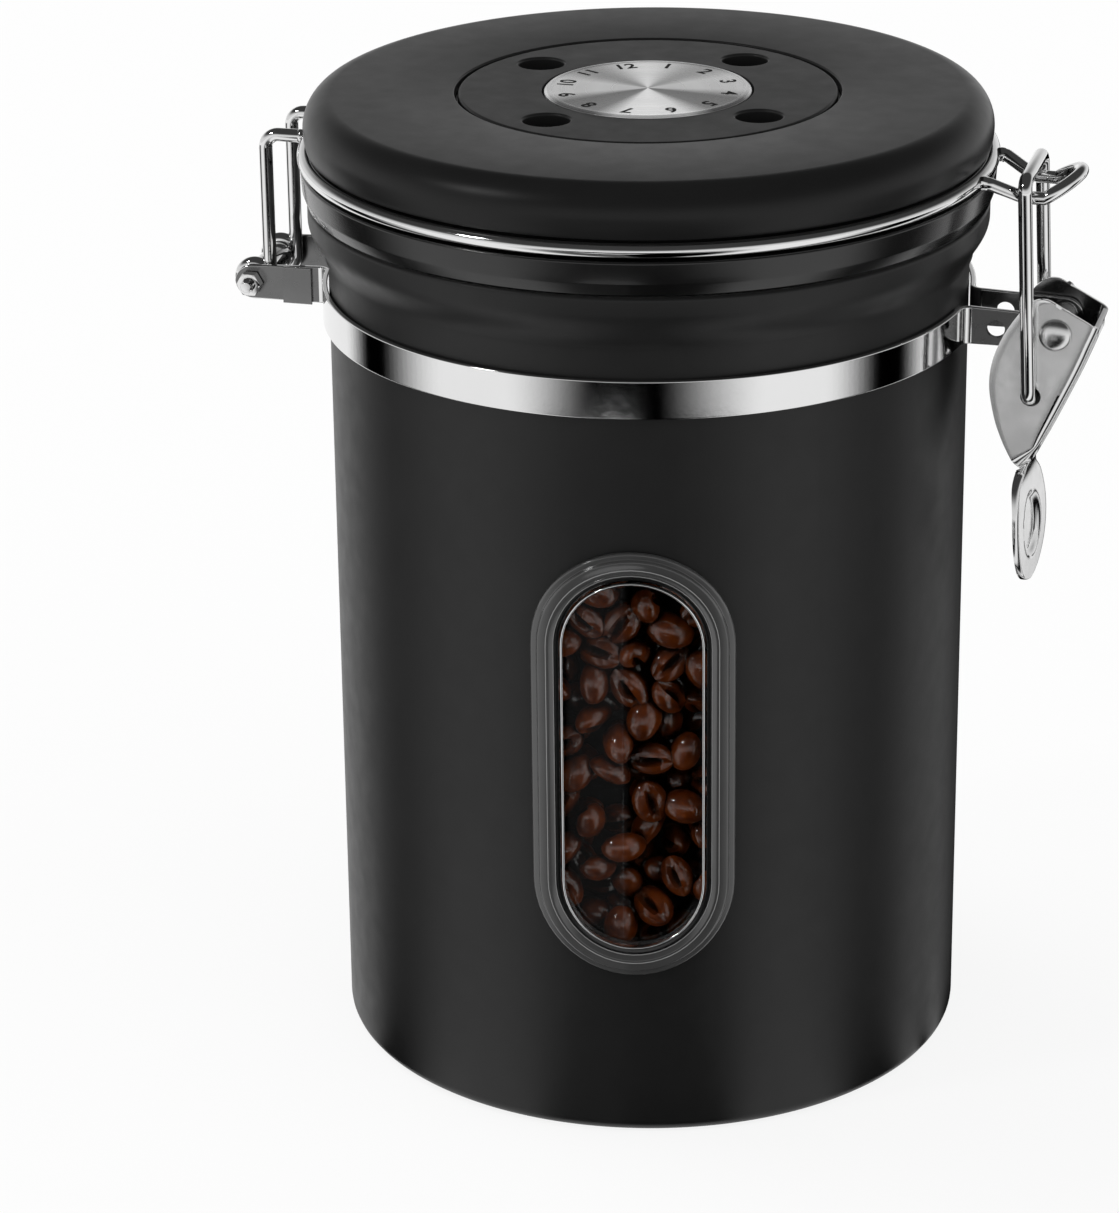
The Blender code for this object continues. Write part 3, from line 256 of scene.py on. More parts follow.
# Latch
PIVOT_STANDOFF = 13.5 * MM
EAR_SPREAD = 5.4 * MM
LEVER_SPAN = 57.0 * MM
LEVER_SHEET = 0.9 * MM
LEVER_CORNER = 1.7 * MM
TAB_CORNER = 0.7 * MM
TAB_RIM = 1.0 * MM
TAB_TWIST = math.radians(9.5)
NECK_HALF_WIDTH = 4.7 * MM
TAB_HALF_WIDTH = 8.6 * MM
TAB_HALF_LENGTH = 12.2 * MM
DISH_HALF_WIDTH = 4.9 * MM
DISH_HALF_LENGTH = 6.8 * MM
DISH_LOWER = 1.2 * MM
DISH_DEPTH = 1.0 * MM
DISH_FLAT_SHARE = 0.72
CORNER_SHARE = 0.8
BEAD_RISE = 0.45 * MM
BEAD_INSET = 3.4 * MM
BEAD_WIDTH = 1.0 * MM
RIVET_RADIUS = 1.6 * MM
RIVET_HEAD_RADIUS = 3.0 * MM
RIVET_HEAD_HEIGHT = 1.3 * MM
SPACER_WALL = 0.9 * MM
LOOP_WIRE = 1.3 * MM
LOOP_SPREAD = 9.8 * MM
LOOP_HOLE_INSET = 4.2 * MM
LOOP_HOLE_DROP = 12.2 * MM
LOOP_BAR_STANDOFF = 7.5 * MM
LOOP_BAR_LIFT = 1.2 * MM
LOOP_BEND = 2.2 * MM
LOOP_HOLE_RADIUS = 1.9 * MM

# The lever's spine, with the cheek's inner edge beside it, as shares of its span
SPINE_SHARES = (
    (0.137, 0.026), (0.131, 0.008), (0.122, -0.015), (0.110, -0.045), (0.093, -0.090),
    (0.070, -0.145), (0.043, -0.205), (0.011, -0.275), (-0.016, -0.332), (-0.036, -0.372),
    (-0.055, -0.410), (-0.071, -0.448), (-0.083, -0.490), (-0.083, -0.550), (-0.076, -0.635),
    (-0.072, -0.715), (-0.071, -0.785), (-0.072, -0.845), (-0.073, -0.893),
)
EDGE_SHARES = (
    (0.010, 0.094), (-0.030, 0.114), (-0.072, 0.108), (-0.112, 0.072), (-0.165, -0.010),
    (-0.200, -0.100), (-0.209, -0.190), (-0.191, -0.293), (-0.165, -0.368), (-0.136, -0.428),
    (-0.116, -0.462), (-0.107, -0.482), (-0.107, -0.508),
)
CHANNEL_END_SHARE = 0.375
NECK_START_SHARE = 0.450

# Beans
BEAN_LENGTH = 9.4 * MM
BEAN_WIDTH = 7.0 * MM
BEAN_HEIGHT = 5.4 * MM
BEAN_LEVEL = 128.0 * MM
BEAN_SEED = 11
BEAN_CORE = 44.0 * MM
BEAN_SHADE_REACH = 5.0 * MM
BEAN_COUNT = 150
BEAN_SPAN = math.radians(24)
BEAN_RINGS = 12
BEAN_SIDES = 20
BEAN_SIZE_SHARES = (0.86, 1.02)
BACK_SHARE = 0.62
BELLY_SHARE = 0.40
CREASE_BEND = 2.2
CREASE_WIDTH_SHARE = 0.16
CREASE_DEPTH_SHARE = 0.42
LAYER_SHARE = 1.1
FRONT_APART_SHARE = 0.92
HEAP_APART_SHARE = 0.95
HEAP_SHARE = 0.75
HEAP_LIMIT_SHARE = 0.65
CORE_STEPS = 40
CORE_WAVE = 2.4

COLLAR_RADIUS = BODY_RADIUS + COLLAR_PROUD
LID_RADIUS = COLLAR_RADIUS + LID_PROUD
FLANGE_RADIUS = LID_RADIUS + FLANGE_PROUD
RING_RADIUS = LID_RADIUS - RING_INSET
GASKET_OUTER = COLLAR_RADIUS - GASKET_INSET
PLUG_RADIUS = BODY_RADIUS - BODY_WALL - PLUG_CLEARANCE
HINGE_REACH = FLANGE_RADIUS + HINGE_STANDOFF
PIVOT_REACH = FLANGE_RADIUS + PIVOT_STANDOFF
SPARE_HOLE_REACH = PIVOT_REACH - SPARE_HOLE_INSET
CATCH_NECK = FLANGE_RADIUS + CATCH_SLOPE_RUN
CATCH_FLAT_END = CATCH_NECK + CATCH_FLAT_RUN
LOOP_BAR_REACH = FLANGE_RADIUS + LOOP_BAR_STANDOFF
VENT_REACH = (DIAL_RADIUS + DISC_RADIUS) / 2
TAB_CENTRE_DROP = -SPINE_SHARES[-1][1] * LEVER_SPAN - TAB_HALF_LENGTH
BAND_FOOT = RIM_HEIGHT - BAND_DROP
WINDOW_CENTRE = BAND_FOOT / 2 + WINDOW_RISE
EAR_CENTRE = BAND_FOOT + EAR_HEIGHT / 2
LID_FOOT = RIM_HEIGHT + SEAL_SEAT
FLANGE_TOP = LID_FOOT + FLANGE_HEIGHT
SHELL_FOOT = FLANGE_TOP + GROOVE_HEIGHT
LID_TOP = SHELL_FOOT + LID_HEIGHT
RING_HEIGHT = FLANGE_TOP + GROOVE_HEIGHT / 2
DISC_TOP = LID_TOP - DISC_DROP
DISC_FOOT = DISC_TOP - DISC_THICKNESS
PLUG_FOOT = LID_FOOT - PLUG_DEPTH
CEILING = LID_FOOT - CEILING_RISE
CHAMBER = LID_FOOT + CHAMBER_FLOOR
BOSS_FOOT = CEILING - BOSS_DROP
LEDGE_FOOT = RIM_HEIGHT + FIT_GAP * 2 + GASKET_THICKNESS
DIAL_TOP = DISC_TOP + DIAL_PROUD
DIAL_FOOT = DIAL_TOP - DIAL_THICKNESS
CATCH_HEIGHT = RING_HEIGHT - CATCH_DROP
LOOP_BAR_HEIGHT = CATCH_HEIGHT + CATCH_WIRE + LOOP_WIRE + LOOP_BAR_LIFT
LOOP_HOLE_REACH = PIVOT_REACH - LOOP_HOLE_INSET
LOOP_HOLE_HEIGHT = EAR_CENTRE - LOOP_HOLE_DROP
CHEEK_INNER = EAR_SPREAD + BAND_THICKNESS / 2 + FIT_GAP
CHEEK_OUTER = CHEEK_INNER + LEVER_SHEET
EYE_RADIUS = BOLT_RADIUS + FIT_GAP + RING_WIRE

# Camera, fitted to the photograph
CAMERA_PLACE = (0.18969, -0.76082, 0.40488)
CAMERA_TURN = math.radians(14.0)
CAMERA_RIGHT = (0.999782, 0.01775, -0.011031)
CAMERA_UP = (0.003455, 0.380164, 0.924917)
CAMERA_BACK = (0.020611, -0.92475, 0.38002)
CAMERA_LENS = 140.69
CAMERA_SENSOR = 36.0


def placed(name, data):
    """A new object with its data, linked into the scene."""
    result = bpy.data.objects.new(name, data)
    bpy.context.scene.collection.objects.link(result)
    return result


def camera():
    """The camera at the photograph's viewpoint."""
    data = bpy.data.cameras.new("camera")
    data.lens = CAMERA_LENS
    data.sensor_width = CAMERA_SENSOR
    data.sensor_fit = "HORIZONTAL"
    result = placed("camera", data)
    columns = Matrix((CAMERA_RIGHT, CAMERA_UP, CAMERA_BACK)).transposed()
    turn = Matrix.Rotation(CAMERA_TURN, 3, "Z") @ columns
    result.matrix_world = Matrix.Translation(CAMERA_PLACE) @ turn.to_4x4()
    bpy.context.scene.camera = result


camera()


# Materials

def node(tree, kind, links=None, **settings):
    """Add a shader node with its settings, and link or set the inputs that are named."""
    result = tree.nodes.new(kind)
    for label, value in settings.items():
        setattr(result, label, value)
    for label, value in (links or {}).items():
        if isinstance(value, bpy.types.NodeSocket):
            tree.links.new(value, result.inputs[label])
        else:
            result.inputs[label].default_value = value
    return result


def blend(tree, output, share, first, last):
    """Mix two shaders by a share, straight into the output node."""
    links = {0: share, 1: first.outputs[0], 2: last.outputs[0]}
    mix = node(tree, "ShaderNodeMixShader", links)
    tree.links.new(mix.outputs[0], tree.nodes[output].inputs[0])


class Look:
    """A procedural material round one Principled shader."""

    def __init__(self, name, slot=None, **values):
        self.slot = slot
        self.material = bpy.data.materials.new(name)
        self.material.use_nodes = True
        self.tree = self.material.node_tree
        self.shader = self.tree.nodes["Principled BSDF"]
        for label, value in values.items():
            self.shader.inputs[label.replace("_", " ")].default_value = value
        self.place = self.add("ShaderNodeTexCoord").outputs["Object"]

    def add(self, kind, links=None, **settings):
        return node(self.tree, kind, links, **settings)

    def maths(self, operation, *values):
        links = dict(enumerate(values))
        return self.add("ShaderNodeMath", links, operation=operation).outputs[0]

    def grain(self, scale, detail=3.0, roughness=0.5):
        links = {"Vector": self.place, "Scale": scale, "Detail": detail, "Roughness": roughness}
        return self.add("ShaderNodeTexNoise", links).outputs[0]

    def ranged(self, value, low, high, first=0.0, last=1.0):
        links = {
            "Value": value, "From Min": first, "From Max": last, "To Min": low, "To Max": high,
        }
        return self.add("ShaderNodeMapRange", links).outputs[0]

    def mixed(self, factor, first, last):
        links = {0: factor, 6: first, 7: last}
        return self.add("ShaderNodeMix", links, data_type="RGBA").outputs[2]

    def set(self, label, value):
        self.tree.links.new(value, self.shader.inputs[label])

    def bump(self, height, distance, strength=1.0):
        links = {"Height": height, "Distance": distance, "Strength": strength}
        self.set("Normal", self.add("ShaderNodeBump", links).outputs[0])


def grey(level, alpha=1.0):
    return (level, level, level, alpha)


def powder_coat(name, level, smooth, rough):
    look = Look(
        name, "coated_steel", Base_Color=grey(0.008), Roughness=rough, Specular_IOR_Level=level
    )
    fine = look.grain(2600.0, 2.0)
    broad = look.grain(60.0, 3.0)
    look.set("Base Color", look.mixed(broad, grey(0.0075), grey(0.0105)))
    look.set("Roughness", look.ranged(look.grain(240.0), smooth, rough))
    look.bump(fine, 0.00002, 0.5)
    return look


def moulded(name, slot, level, rough, coat=0.0):
    look = Look(
        name, slot, Base_Color=grey(level), Roughness=rough, Coat_Weight=coat,
        Coat_Roughness=0.06,
    )
    look.set("Base Color", look.mixed(look.grain(90.0), grey(level), grey(level * 1.35)))
    look.set("Roughness", look.ranged(look.grain(420.0), rough * 0.8, rough * 1.25))
    look.bump(look.grain(1800.0, 2.0), 0.00001, 0.5)
    return look


def plated(name, slot, level, rough, metallic=1.0):
    look = Look(
        name, slot, Base_Color=(level, level, level * 1.01, 1), Roughness=rough,
        Metallic=metallic,
    )
    cloud = look.grain(110.0, 4.0)
    look.set("Base Color", look.mixed(cloud, grey(level * 0.94), grey(level)))
    look.set("Roughness", look.ranged(look.grain(500.0), rough * 0.7, rough * 1.4))
    look.bump(look.grain(900.0, 2.0), 0.00001, 0.35)
    return look


# Painted highlight and shade: wedges of light in the dial's base colour, as round-brushed steel
# shows them:
# waves round the dial, their turn and their share
PAINTED_SHEEN_WAVES = ((4, 0.4, 0.7), (3, 2.2, 0.5))


def brushed():
    look = Look(
        "brushed_steel_fine", "brushed_steel", Base_Color=grey(0.90), Roughness=0.30,
        Metallic=0.62, Anisotropic=0.9,
    )
    tangent = look.add("ShaderNodeTangent", direction_type="RADIAL", axis="Z").outputs[0]
    look.set("Tangent", tangent)
    apart = look.add("ShaderNodeVectorMath", {"Vector": look.place}, operation="LENGTH")
    lines = look.add(
        "ShaderNodeTexNoise", {"W": apart.outputs["Value"], "Scale": 5200.0, "Detail": 3.0},
        noise_dimensions="1D",
    ).outputs[0]
    angle = look.add("ShaderNodeTexGradient", {"Vector": look.place}, gradient_type="RADIAL")
    waves = []
    for count, shift, size in PAINTED_SHEEN_WAVES:
        turned = look.maths("MULTIPLY_ADD", angle.outputs["Fac"], math.tau * count, shift)
        waves.append(look.maths("MULTIPLY", look.maths("SINE", turned), size))
    # Painted highlight: the base colour runs from a shaded to a lit grey in wedges round the dial
    painted_sheen = look.ranged(look.maths("ADD", *waves), 0.0, 1.0, -0.7, 0.4)
    dark = look.mixed(lines, grey(0.14), grey(0.30))
    bright = look.mixed(lines, grey(0.86), grey(1.0))
    look.set("Base Color", look.mixed(painted_sheen, dark, bright))
    look.set("Roughness", look.ranged(lines, 0.20, 0.34))
    look.bump(lines, 0.000012, 0.6)
    return look


def see_through(look, share_clear):
    """Let light reach what lies behind by making the material clear to shadow rays."""
    clear = look.add("ShaderNodeBsdfTransparent", {"Color": grey(share_clear)})
    shadow = look.add("ShaderNodeLightPath").outputs["Is Shadow Ray"]
    blend(look.tree, "Material Output", shadow, look.shader, clear)


def clear_pane():
    look = Look(
        "clear_pane_fine", "clear_pane", Base_Color=(0.93, 0.94, 0.94, 1), Roughness=0.02,
        Transmission_Weight=1.0, IOR=1.38,
    )
    look.set("Roughness", look.ranged(look.grain(160.0), 0.0, 0.03))
    look.bump(look.grain(45.0, 1.0), 0.00002, 0.2)
    see_through(look, 0.9)
    return look


def bean_look():
    look = Look(
        "roasted_bean", None, Base_Color=(0.05, 0.012, 0.004, 1), Roughness=0.35,
        Coat_Weight=1.0, Coat_Roughness=0.10, Coat_IOR=1.62, Specular_IOR_Level=0.05,
    )
    cloud = look.ranged(look.grain(240.0, 5.0, 0.6), 0.0, 1.0, 0.25, 0.75)
    roast = look.mixed(cloud, (0.050, 0.008, 0.001, 1), (0.26, 0.052, 0.006, 1))
    # Painted shade: the base colour falls to near black where the beans crowd each other, by
    # ambient occlusion
    crowding_shade = look.add(
        "ShaderNodeAmbientOcclusion", {"Distance": BEAN_SHADE_REACH}, samples=8, only_local=True
    ).outputs["AO"]
    unshaded_share = look.ranged(crowding_shade, 0.0, 1.0, 0.40, 0.95)
    look.set("Base Color", look.mixed(unshaded_share, (0.004, 0.001, 0.0004, 1), roast))
    look.set("Roughness", look.ranged(look.grain(700.0), 0.25, 0.5))
    look.bump(look.grain(620.0, 4.0), 0.00022, 0.8)
    return look


COATED = powder_coat("coated_steel_fine", 0.34, 0.36, 0.50)
LID_COATED = powder_coat("lid_coat_fine", 0.22, 0.30, 0.40)
PLASTIC = moulded("black_plastic_fine", "black_plastic", 0.010, 0.45)
GLOSS = moulded("gloss_black_plastic_fine", "gloss_black_plastic", 0.004, 0.22, 0.22)
RUBBER = moulded("black_rubber_fine", "black_rubber", 0.018, 0.7)
SILICONE = moulded("clear_silicone_fine", "clear_silicone", 0.55, 0.45)
# Painted highlight: a pale plastic for the bezel's lit edge lines
LIT = moulded("lit_plastic_edge", None, 0.24, 0.25, 0.5)
SMOKE = moulded("smoke_plastic_fine", "smoke_plastic", 0.040, 0.16, 0.8)
INK = moulded("dial_ink", None, 0.004, 0.8)
CHROME = plated("chrome_fine", "chrome", 0.80, 0.07)
PRESSED = plated("pressed_chrome_fine", "chrome", 0.76, 0.13)
DOMED = plated("domed_chrome_fine", "chrome", 0.74, 0.22)
SATIN = plated("satin_chrome_fine", "chrome", 0.90, 0.20, 0.74)
# A dark chrome: painted shade on the inner faces of the lever's channel, and the darker tone of the
# ears' and doubler's flat faces
DARK_CHROME = plated("dark_chrome_fine", "chrome", 0.20, 0.24)
BRUSHED = brushed()
PANE = clear_pane()
BEAN = bean_look()
SHADE = moulded("bean_shade", None, 0.003, 0.8)


# Geometry kit

def made(name, verts, faces):
    """A mesh object from points and faces, welded, with outward normals."""
    mesh = bpy.data.meshes.new(name)
    mesh.from_pydata([tuple(v) for v in verts], [], faces)
    work = bmesh.new()
    work.from_mesh(mesh)
    bmesh.ops.remove_doubles(work, verts=work.verts, dist=WELD)
    bmesh.ops.recalc_face_normals(work, faces=work.faces)
    work.to_mesh(mesh)
    work.free()
    return placed(name, mesh)


def from_work(name, work):
    """Turn a working mesh into an object."""
    mesh = bpy.data.meshes.new(name)
    work.to_mesh(mesh)
    work.free()
    return placed(name, mesh)


def evaluated(target):
    """A new mesh of what an object's data and modifiers give."""
    bpy.context.view_layer.update()
    depsgraph = bpy.context.evaluated_depsgraph_get()
    return bpy.data.meshes.new_from_object(target.evaluated_get(depsgraph))


def settle(target):
    """Apply every modifier of an object."""
    mesh = evaluated(target)
    old = target.data
    target.modifiers.clear()
    target.data = mesh
    bpy.data.meshes.remove(old)


def carve(target, tool, operation="DIFFERENCE"):
    """Cut with another object, or keep what lies inside it, then drop it."""
    step = target.modifiers.new("carve", "BOOLEAN")
    step.operation = operation
    step.object = tool
    step.solver = "EXACT"
    settle(target)
    mesh = tool.data
    bpy.data.objects.remove(tool, do_unlink=True)
    bpy.data.meshes.remove(mesh)


def dress(target, look, body, *nodes, flat=False):
    """Shade a piece, give it its material, and let it ride in place of its nodes."""
    mesh = target.data
    mesh.materials.clear()
    mesh.materials.append(look.material)
    mesh.shade_smooth()
    mesh.set_sharp_from_angle(angle=SHARP_ANGLE)
    if flat:
        step = target.modifiers.new("normals", "WEIGHTED_NORMAL")
        step.keep_sharp = True
        step.weight = NORMALS_WEIGHT
        settle(target)
    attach(target, body)
    if nodes:
        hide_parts(*nodes)
    return target


def rounded(points, closed=True):
    """Round each corner of an outline by the radius that its point carries third."""
    count = len(points)
    result = []
    for i, point in enumerate(points):
        spot = Vector(point[:2])
        radius = point[2] if len(point) > 2 else 0
        if radius <= 0 or (not closed and i in (0, count - 1)):
            result.append(tuple(spot))
            continue
        back = Vector(points[i - 1][:2]) - spot
        ahead = Vector(points[(i + 1) % count][:2]) - spot
        angle = back.angle(ahead)
        reach = min(radius / math.tan(angle / 2), back.length / 2, ahead.length / 2)
        actual = reach * math.tan(angle / 2)
        middle = (back.normalized() + ahead.normalized()).normalized()
        centre = spot + middle * (actual / math.sin(angle / 2))
        first = spot + back.normalized() * reach - centre
        last = spot + ahead.normalized() * reach - centre
        sweep = math.atan2(first.x * last.y - first.y * last.x, first.dot(last))
        for k in range(CORNER_STEPS + 1):
            turn = sweep * k / CORNER_STEPS
            x = first.x * math.cos(turn) - first.y * math.sin(turn)
            y = first.x * math.sin(turn) + first.y * math.cos(turn)
            result.append((centre.x + x, centre.y + y))
    return result


def polar(radius, angle, *rest):
    """A point at a radius and an angle, with its height if one is given."""
    return (radius * math.cos(angle), radius * math.sin(angle), *rest)


def arc(centre, radii, start, end, steps=ARC_STEPS):
    points = []
    for i in range(steps + 1):
        angle = start + (end - start) * i / steps
        u = centre[0] + radii[0] * math.cos(angle)
        points.append((u, centre[1] + radii[1] * math.sin(angle)))
    return points


def oblong(inner, outer, first, last, *edges):
    """The four corners of a rectangular section, with the radii that round them."""
    corners = ((inner, first), (outer, first), (outer, last), (inner, last))
    return [(*corner, edge) for corner, edge in zip(corners, edges or SHARP_EDGES)]


def lattice(rows, count, closed=False, joined=True):
    """Quads between rows of points; closed meets the first row again, joined each row's ends."""
    faces = []
    for i in range(rows if closed else rows - 1):
        j = (i + 1) % rows
        for k in range(count if joined else count - 1):
            m = (k + 1) % count
            faces.append([i * count + k, i * count + m, j * count + m, j * count + k])
    return faces


def capped(rows, count):
    """The faces that close the first row and the last."""
    return [list(range(count)), list(range((rows - 1) * count, rows * count))]


def lathe(name, section, steps=LATHE_STEPS, place=None):
    """Revolve a section of (radius, height) points about Z; from the axis, it isn't closed."""
    ring = section[0][0] > 0
    verts = []
    rows = []
    for radius, height in rounded(section, ring):
        count = steps if radius > WELD else 1
        rows.append((len(verts), count))
        verts += [polar(radius, math.tau * i / steps, height) for i in range(count)]
    pairs = list(zip(rows, rows[1:]))
    if ring:
        pairs.append((rows[-1], rows[0]))
    faces = []
    for (first, many), (last, more) in pairs:
        for i in range(steps):
            j = (i + 1) % steps
            face = [first + i % many, first + j % many, last + j % more, last + i % more]
            face = list(dict.fromkeys(face))
            if len(face) > 2:
                faces.append(face)
    result = made(name, verts, faces)
    if place:
        result.data.transform(place)
    return result


def drill(target, radius, depth, place, steps=SMALL_LATHE_STEPS):
    """Cut a round hole that reaches as deep to both sides of its place."""
    carve(target, lathe("drill", oblong(0, radius, depth, -depth), steps, place))


def across(x, y, z):
    """The place of a turned piece whose own axis lies along Y."""
    return Matrix.Translation((x, y, z)) @ Matrix.Rotation(QUARTER, 4, "X")


def bent(points, radius, closed=False, steps=BEND_STEPS):
    """Round the corners of a polyline of 3-D points with arcs of one radius."""
    spots = [Vector(p) for p in points]
    count = len(spots)
    result = []
    for i, spot in enumerate(spots):
        if not closed and i in (0, count - 1):
            result.append(spot)
            continue
        back = (spots[i - 1] - spot).normalized()
        ahead = (spots[(i + 1) % count] - spot).normalized()
        angle = back.angle(ahead)
        if angle > STRAIGHT_ON:
            result.append(spot)
            continue
        room = min((spots[i - 1] - spot).length, (spots[(i + 1) % count] - spot).length) / 2
        reach = min(radius / math.tan(angle / 2), room)
        actual = reach * math.tan(angle / 2)
        centre = spot + (back + ahead).normalized() * (actual / math.sin(angle / 2))
        first = spot + back * reach - centre
        axis = first.cross(spot + ahead * reach - centre).normalized()
        for k in range(steps + 1):
            turn = Matrix.Rotation((math.pi - angle) * k / steps, 3, axis)
            result.append(centre + turn @ first)
    return result


def heading(path, i):
    """The direction of an open path at one of its points."""
    back = path[max(i - 1, 0)]
    ahead = path[min(i + 1, len(path) - 1)]
    return (ahead - back).normalized()


def tube(name, points, radius, closed=False, sides=WIRE_SIDES):
    """A round wire along a path, with rounded ends where it is open."""
    spots = [Vector(p) for p in points]
    count = len(spots)
    tangents = []
    for i in range(count):
        back = spots[i - 1] if closed or i > 0 else spots[i]
        ahead = spots[(i + 1) % count] if closed or i + 1 < count else spots[i]
        tangents.append((ahead - back).normalized())
    normal = tangents[0].orthogonal().normalized()
    rings = []
    for i, (spot, tangent) in enumerate(zip(spots, tangents)):
        if i:
            normal = tangents[i - 1].rotation_difference(tangent) @ normal
            normal = (normal - tangent * normal.dot(tangent)).normalized()
        rings.append((spot, tangent, normal, radius))
    if not closed:
        caps = []
        for end, way in ((0, -1), (-1, 1)):
            spot, tangent, side, wide = rings[end]
            cap = []
            for k in range(1, 5):
                turn = QUARTER * k / 5
                shift = tangent * (way * wide * math.sin(turn) / 2)
                cap.append((spot + shift, tangent, side, wide * math.cos(turn)))
            caps.append(cap)
        rings = list(reversed(caps[0])) + rings + caps[1]
    verts = []
    for spot, tangent, side, wide in rings:
        other = tangent.cross(side)
        for k in range(sides):
            turn = math.tau * k / sides
            verts.append(spot + (side * math.cos(turn) + other * math.sin(turn)) * wide)
    faces = []
    total = len(rings)
    for i in range(total if closed else total - 1):
        nxt = (i + 1) % total
        shift = 0
        if closed and nxt == 0:
            shift = closing_shift(verts, i * sides, sides)
        for k in range(sides):
            m = (k + 1) % sides
            faces.append([
                i * sides + k, i * sides + m, nxt * sides + (m + shift) % sides,
                nxt * sides + (k + shift) % sides,
            ])
    if not closed:
        faces += capped(total, sides)
    return made(name, verts, faces)


def closing_shift(verts, start, sides):
    """How far to turn the first ring of a closed tube to meet the last one best."""
    return min(
        range(sides),
        key=lambda shift: sum((verts[start + k] - verts[(k + shift) % sides]).length
                              for k in range(0, sides, 5)),
    )


def smooth(points, steps=CURVE_STEPS, closed=False):
    """Catmull-Rom points through an outline of 2-D points."""
    count = len(points)
    spans = count if closed else count - 1
    result = []
    for i in range(spans):
        p1 = Vector(points[i])
        p2 = Vector(points[(i + 1) % count])
        p0 = Vector(points[i - 1]) if closed or i > 0 else p1
        p3 = Vector(points[(i + 2) % count]) if closed or i + 2 < count else p2
        for k in range(steps):
            t = k / steps
            spot = p1 * 2 + (p2 - p0) * t
            spot += (p0 * 2 - p1 * 5 + p2 * 4 - p3) * t * t
            spot += (p1 * 3 - p0 - p2 * 3 + p3) * t * t * t
            result.append(spot / 2)
    if not closed:
        result.append(Vector(points[-1]))
    return result


def ease(value):
    value = min(max(value, 0), 1)
    return value * value * (3 - 2 * value)


# Can body and collar

def can_body():
    inner = BODY_RADIUS - BODY_WALL
    floor = BASE_RECESS + BODY_WALL
    top = RIM_HEIGHT - COLLAR_LIP - FIT_GAP
    foot_inner = BODY_RADIUS - FOOT_WIDTH
    section = [
        (0, floor), (inner, floor, FLOOR_FILLET), (inner, top), (BODY_RADIUS, top),
        (BODY_RADIUS, 0, FOOT_CORNER), (foot_inner, 0, FOOT_EDGE),
        (foot_inner - FOOT_SLOPE, BASE_RECESS, FOOT_EDGE), (0, BASE_RECESS),
    ]
    body = lathe("can_wall", section)
    inset = BEZEL_FLANGE - NECK_WALL - FIT_GAP
    carve(body, slot_block("window_cut", BEZEL_WIDTH / 2 - inset, BEZEL_LENGTH / 2 - inset))
    dress(body, COATED, "canister", "canister_body", flat=True)


def slot_block(name, half_width, half_length):
    """A slot-shaped block through the window's side of the wall."""
    outline = slot_path(half_width, half_length)
    turn = Matrix.Rotation(WINDOW_TURN, 3, "Z")
    verts = []
    for depth in (BODY_RADIUS / 2, BODY_RADIUS + OVERRUN * 2):
        verts += [turn @ Vector((spot.x, -depth, WINDOW_CENTRE + spot.y)) for spot, _ in outline]
    count = len(outline)
    return made(name, verts, lattice(2, count) + capped(2, count))


def slot_path(half_width, half_length, steps=SLOT_STEPS):
    """Points and outward directions round a slot outline with round ends."""
    rise = half_length - half_width
    result = []
    for centre, start in ((rise, 0), (-rise, math.pi)):
        for k in range(steps + 1):
            angle = start + math.pi * k / steps
            way = Vector((math.cos(angle), math.sin(angle)))
            result.append((Vector((0, centre)) + way * half_width, way))
    return result


def slot_point(spot, way, inset, radius):
    """A point of the window's ring work: set in from the outline, at a radius."""
    flat = spot - way * inset
    depth = math.sqrt(radius ** 2 - flat.x ** 2)
    place = Vector((flat.x, -depth, WINDOW_CENTRE + flat.y))
    return Matrix.Rotation(WINDOW_TURN, 3, "Z") @ place


def slot_ring(name, section):
    """A ring of one section swept round the bezel's outline on the can's wall."""
    outline = slot_path(BEZEL_WIDTH / 2, BEZEL_LENGTH / 2)
    points = rounded(section)
    verts = []
    for spot, way in outline:
        verts += [slot_point(spot, way, inset, radius) for inset, radius in points]
    return made(name, verts, lattice(len(outline), len(points), closed=True))


def collar():
    inner = BODY_RADIUS + FIT_GAP
    foot = RIM_HEIGHT - COLLAR_HEIGHT
    lip = BODY_RADIUS - BODY_WALL
    under = RIM_HEIGHT - COLLAR_LIP
    section = [(lip, RIM_HEIGHT - COLLAR_TIP), (lip + COLLAR_TIP, RIM_HEIGHT)]
    crown = (COLLAR_RADIUS - COLLAR_ROUND, RIM_HEIGHT - COLLAR_ROUND)
    section += arc(crown, (COLLAR_ROUND, COLLAR_ROUND), QUARTER, 0, ROUND_STEPS)
    steps = 20
    for i in range(steps + 1):
        drop = i / steps
        share = (1 + math.cos(math.pi * drop)) / 2
        radius = inner + COLLAR_TIP + (COLLAR_RADIUS - inner - COLLAR_TIP) * share
        section.append((radius, foot + COLLAR_FLARE * (1 - drop)))
    section += [(inner, foot), (inner, under), (lip, under)]
    dress(lathe("can_collar", section), COATED, "canister", "collar_ring")


# Window

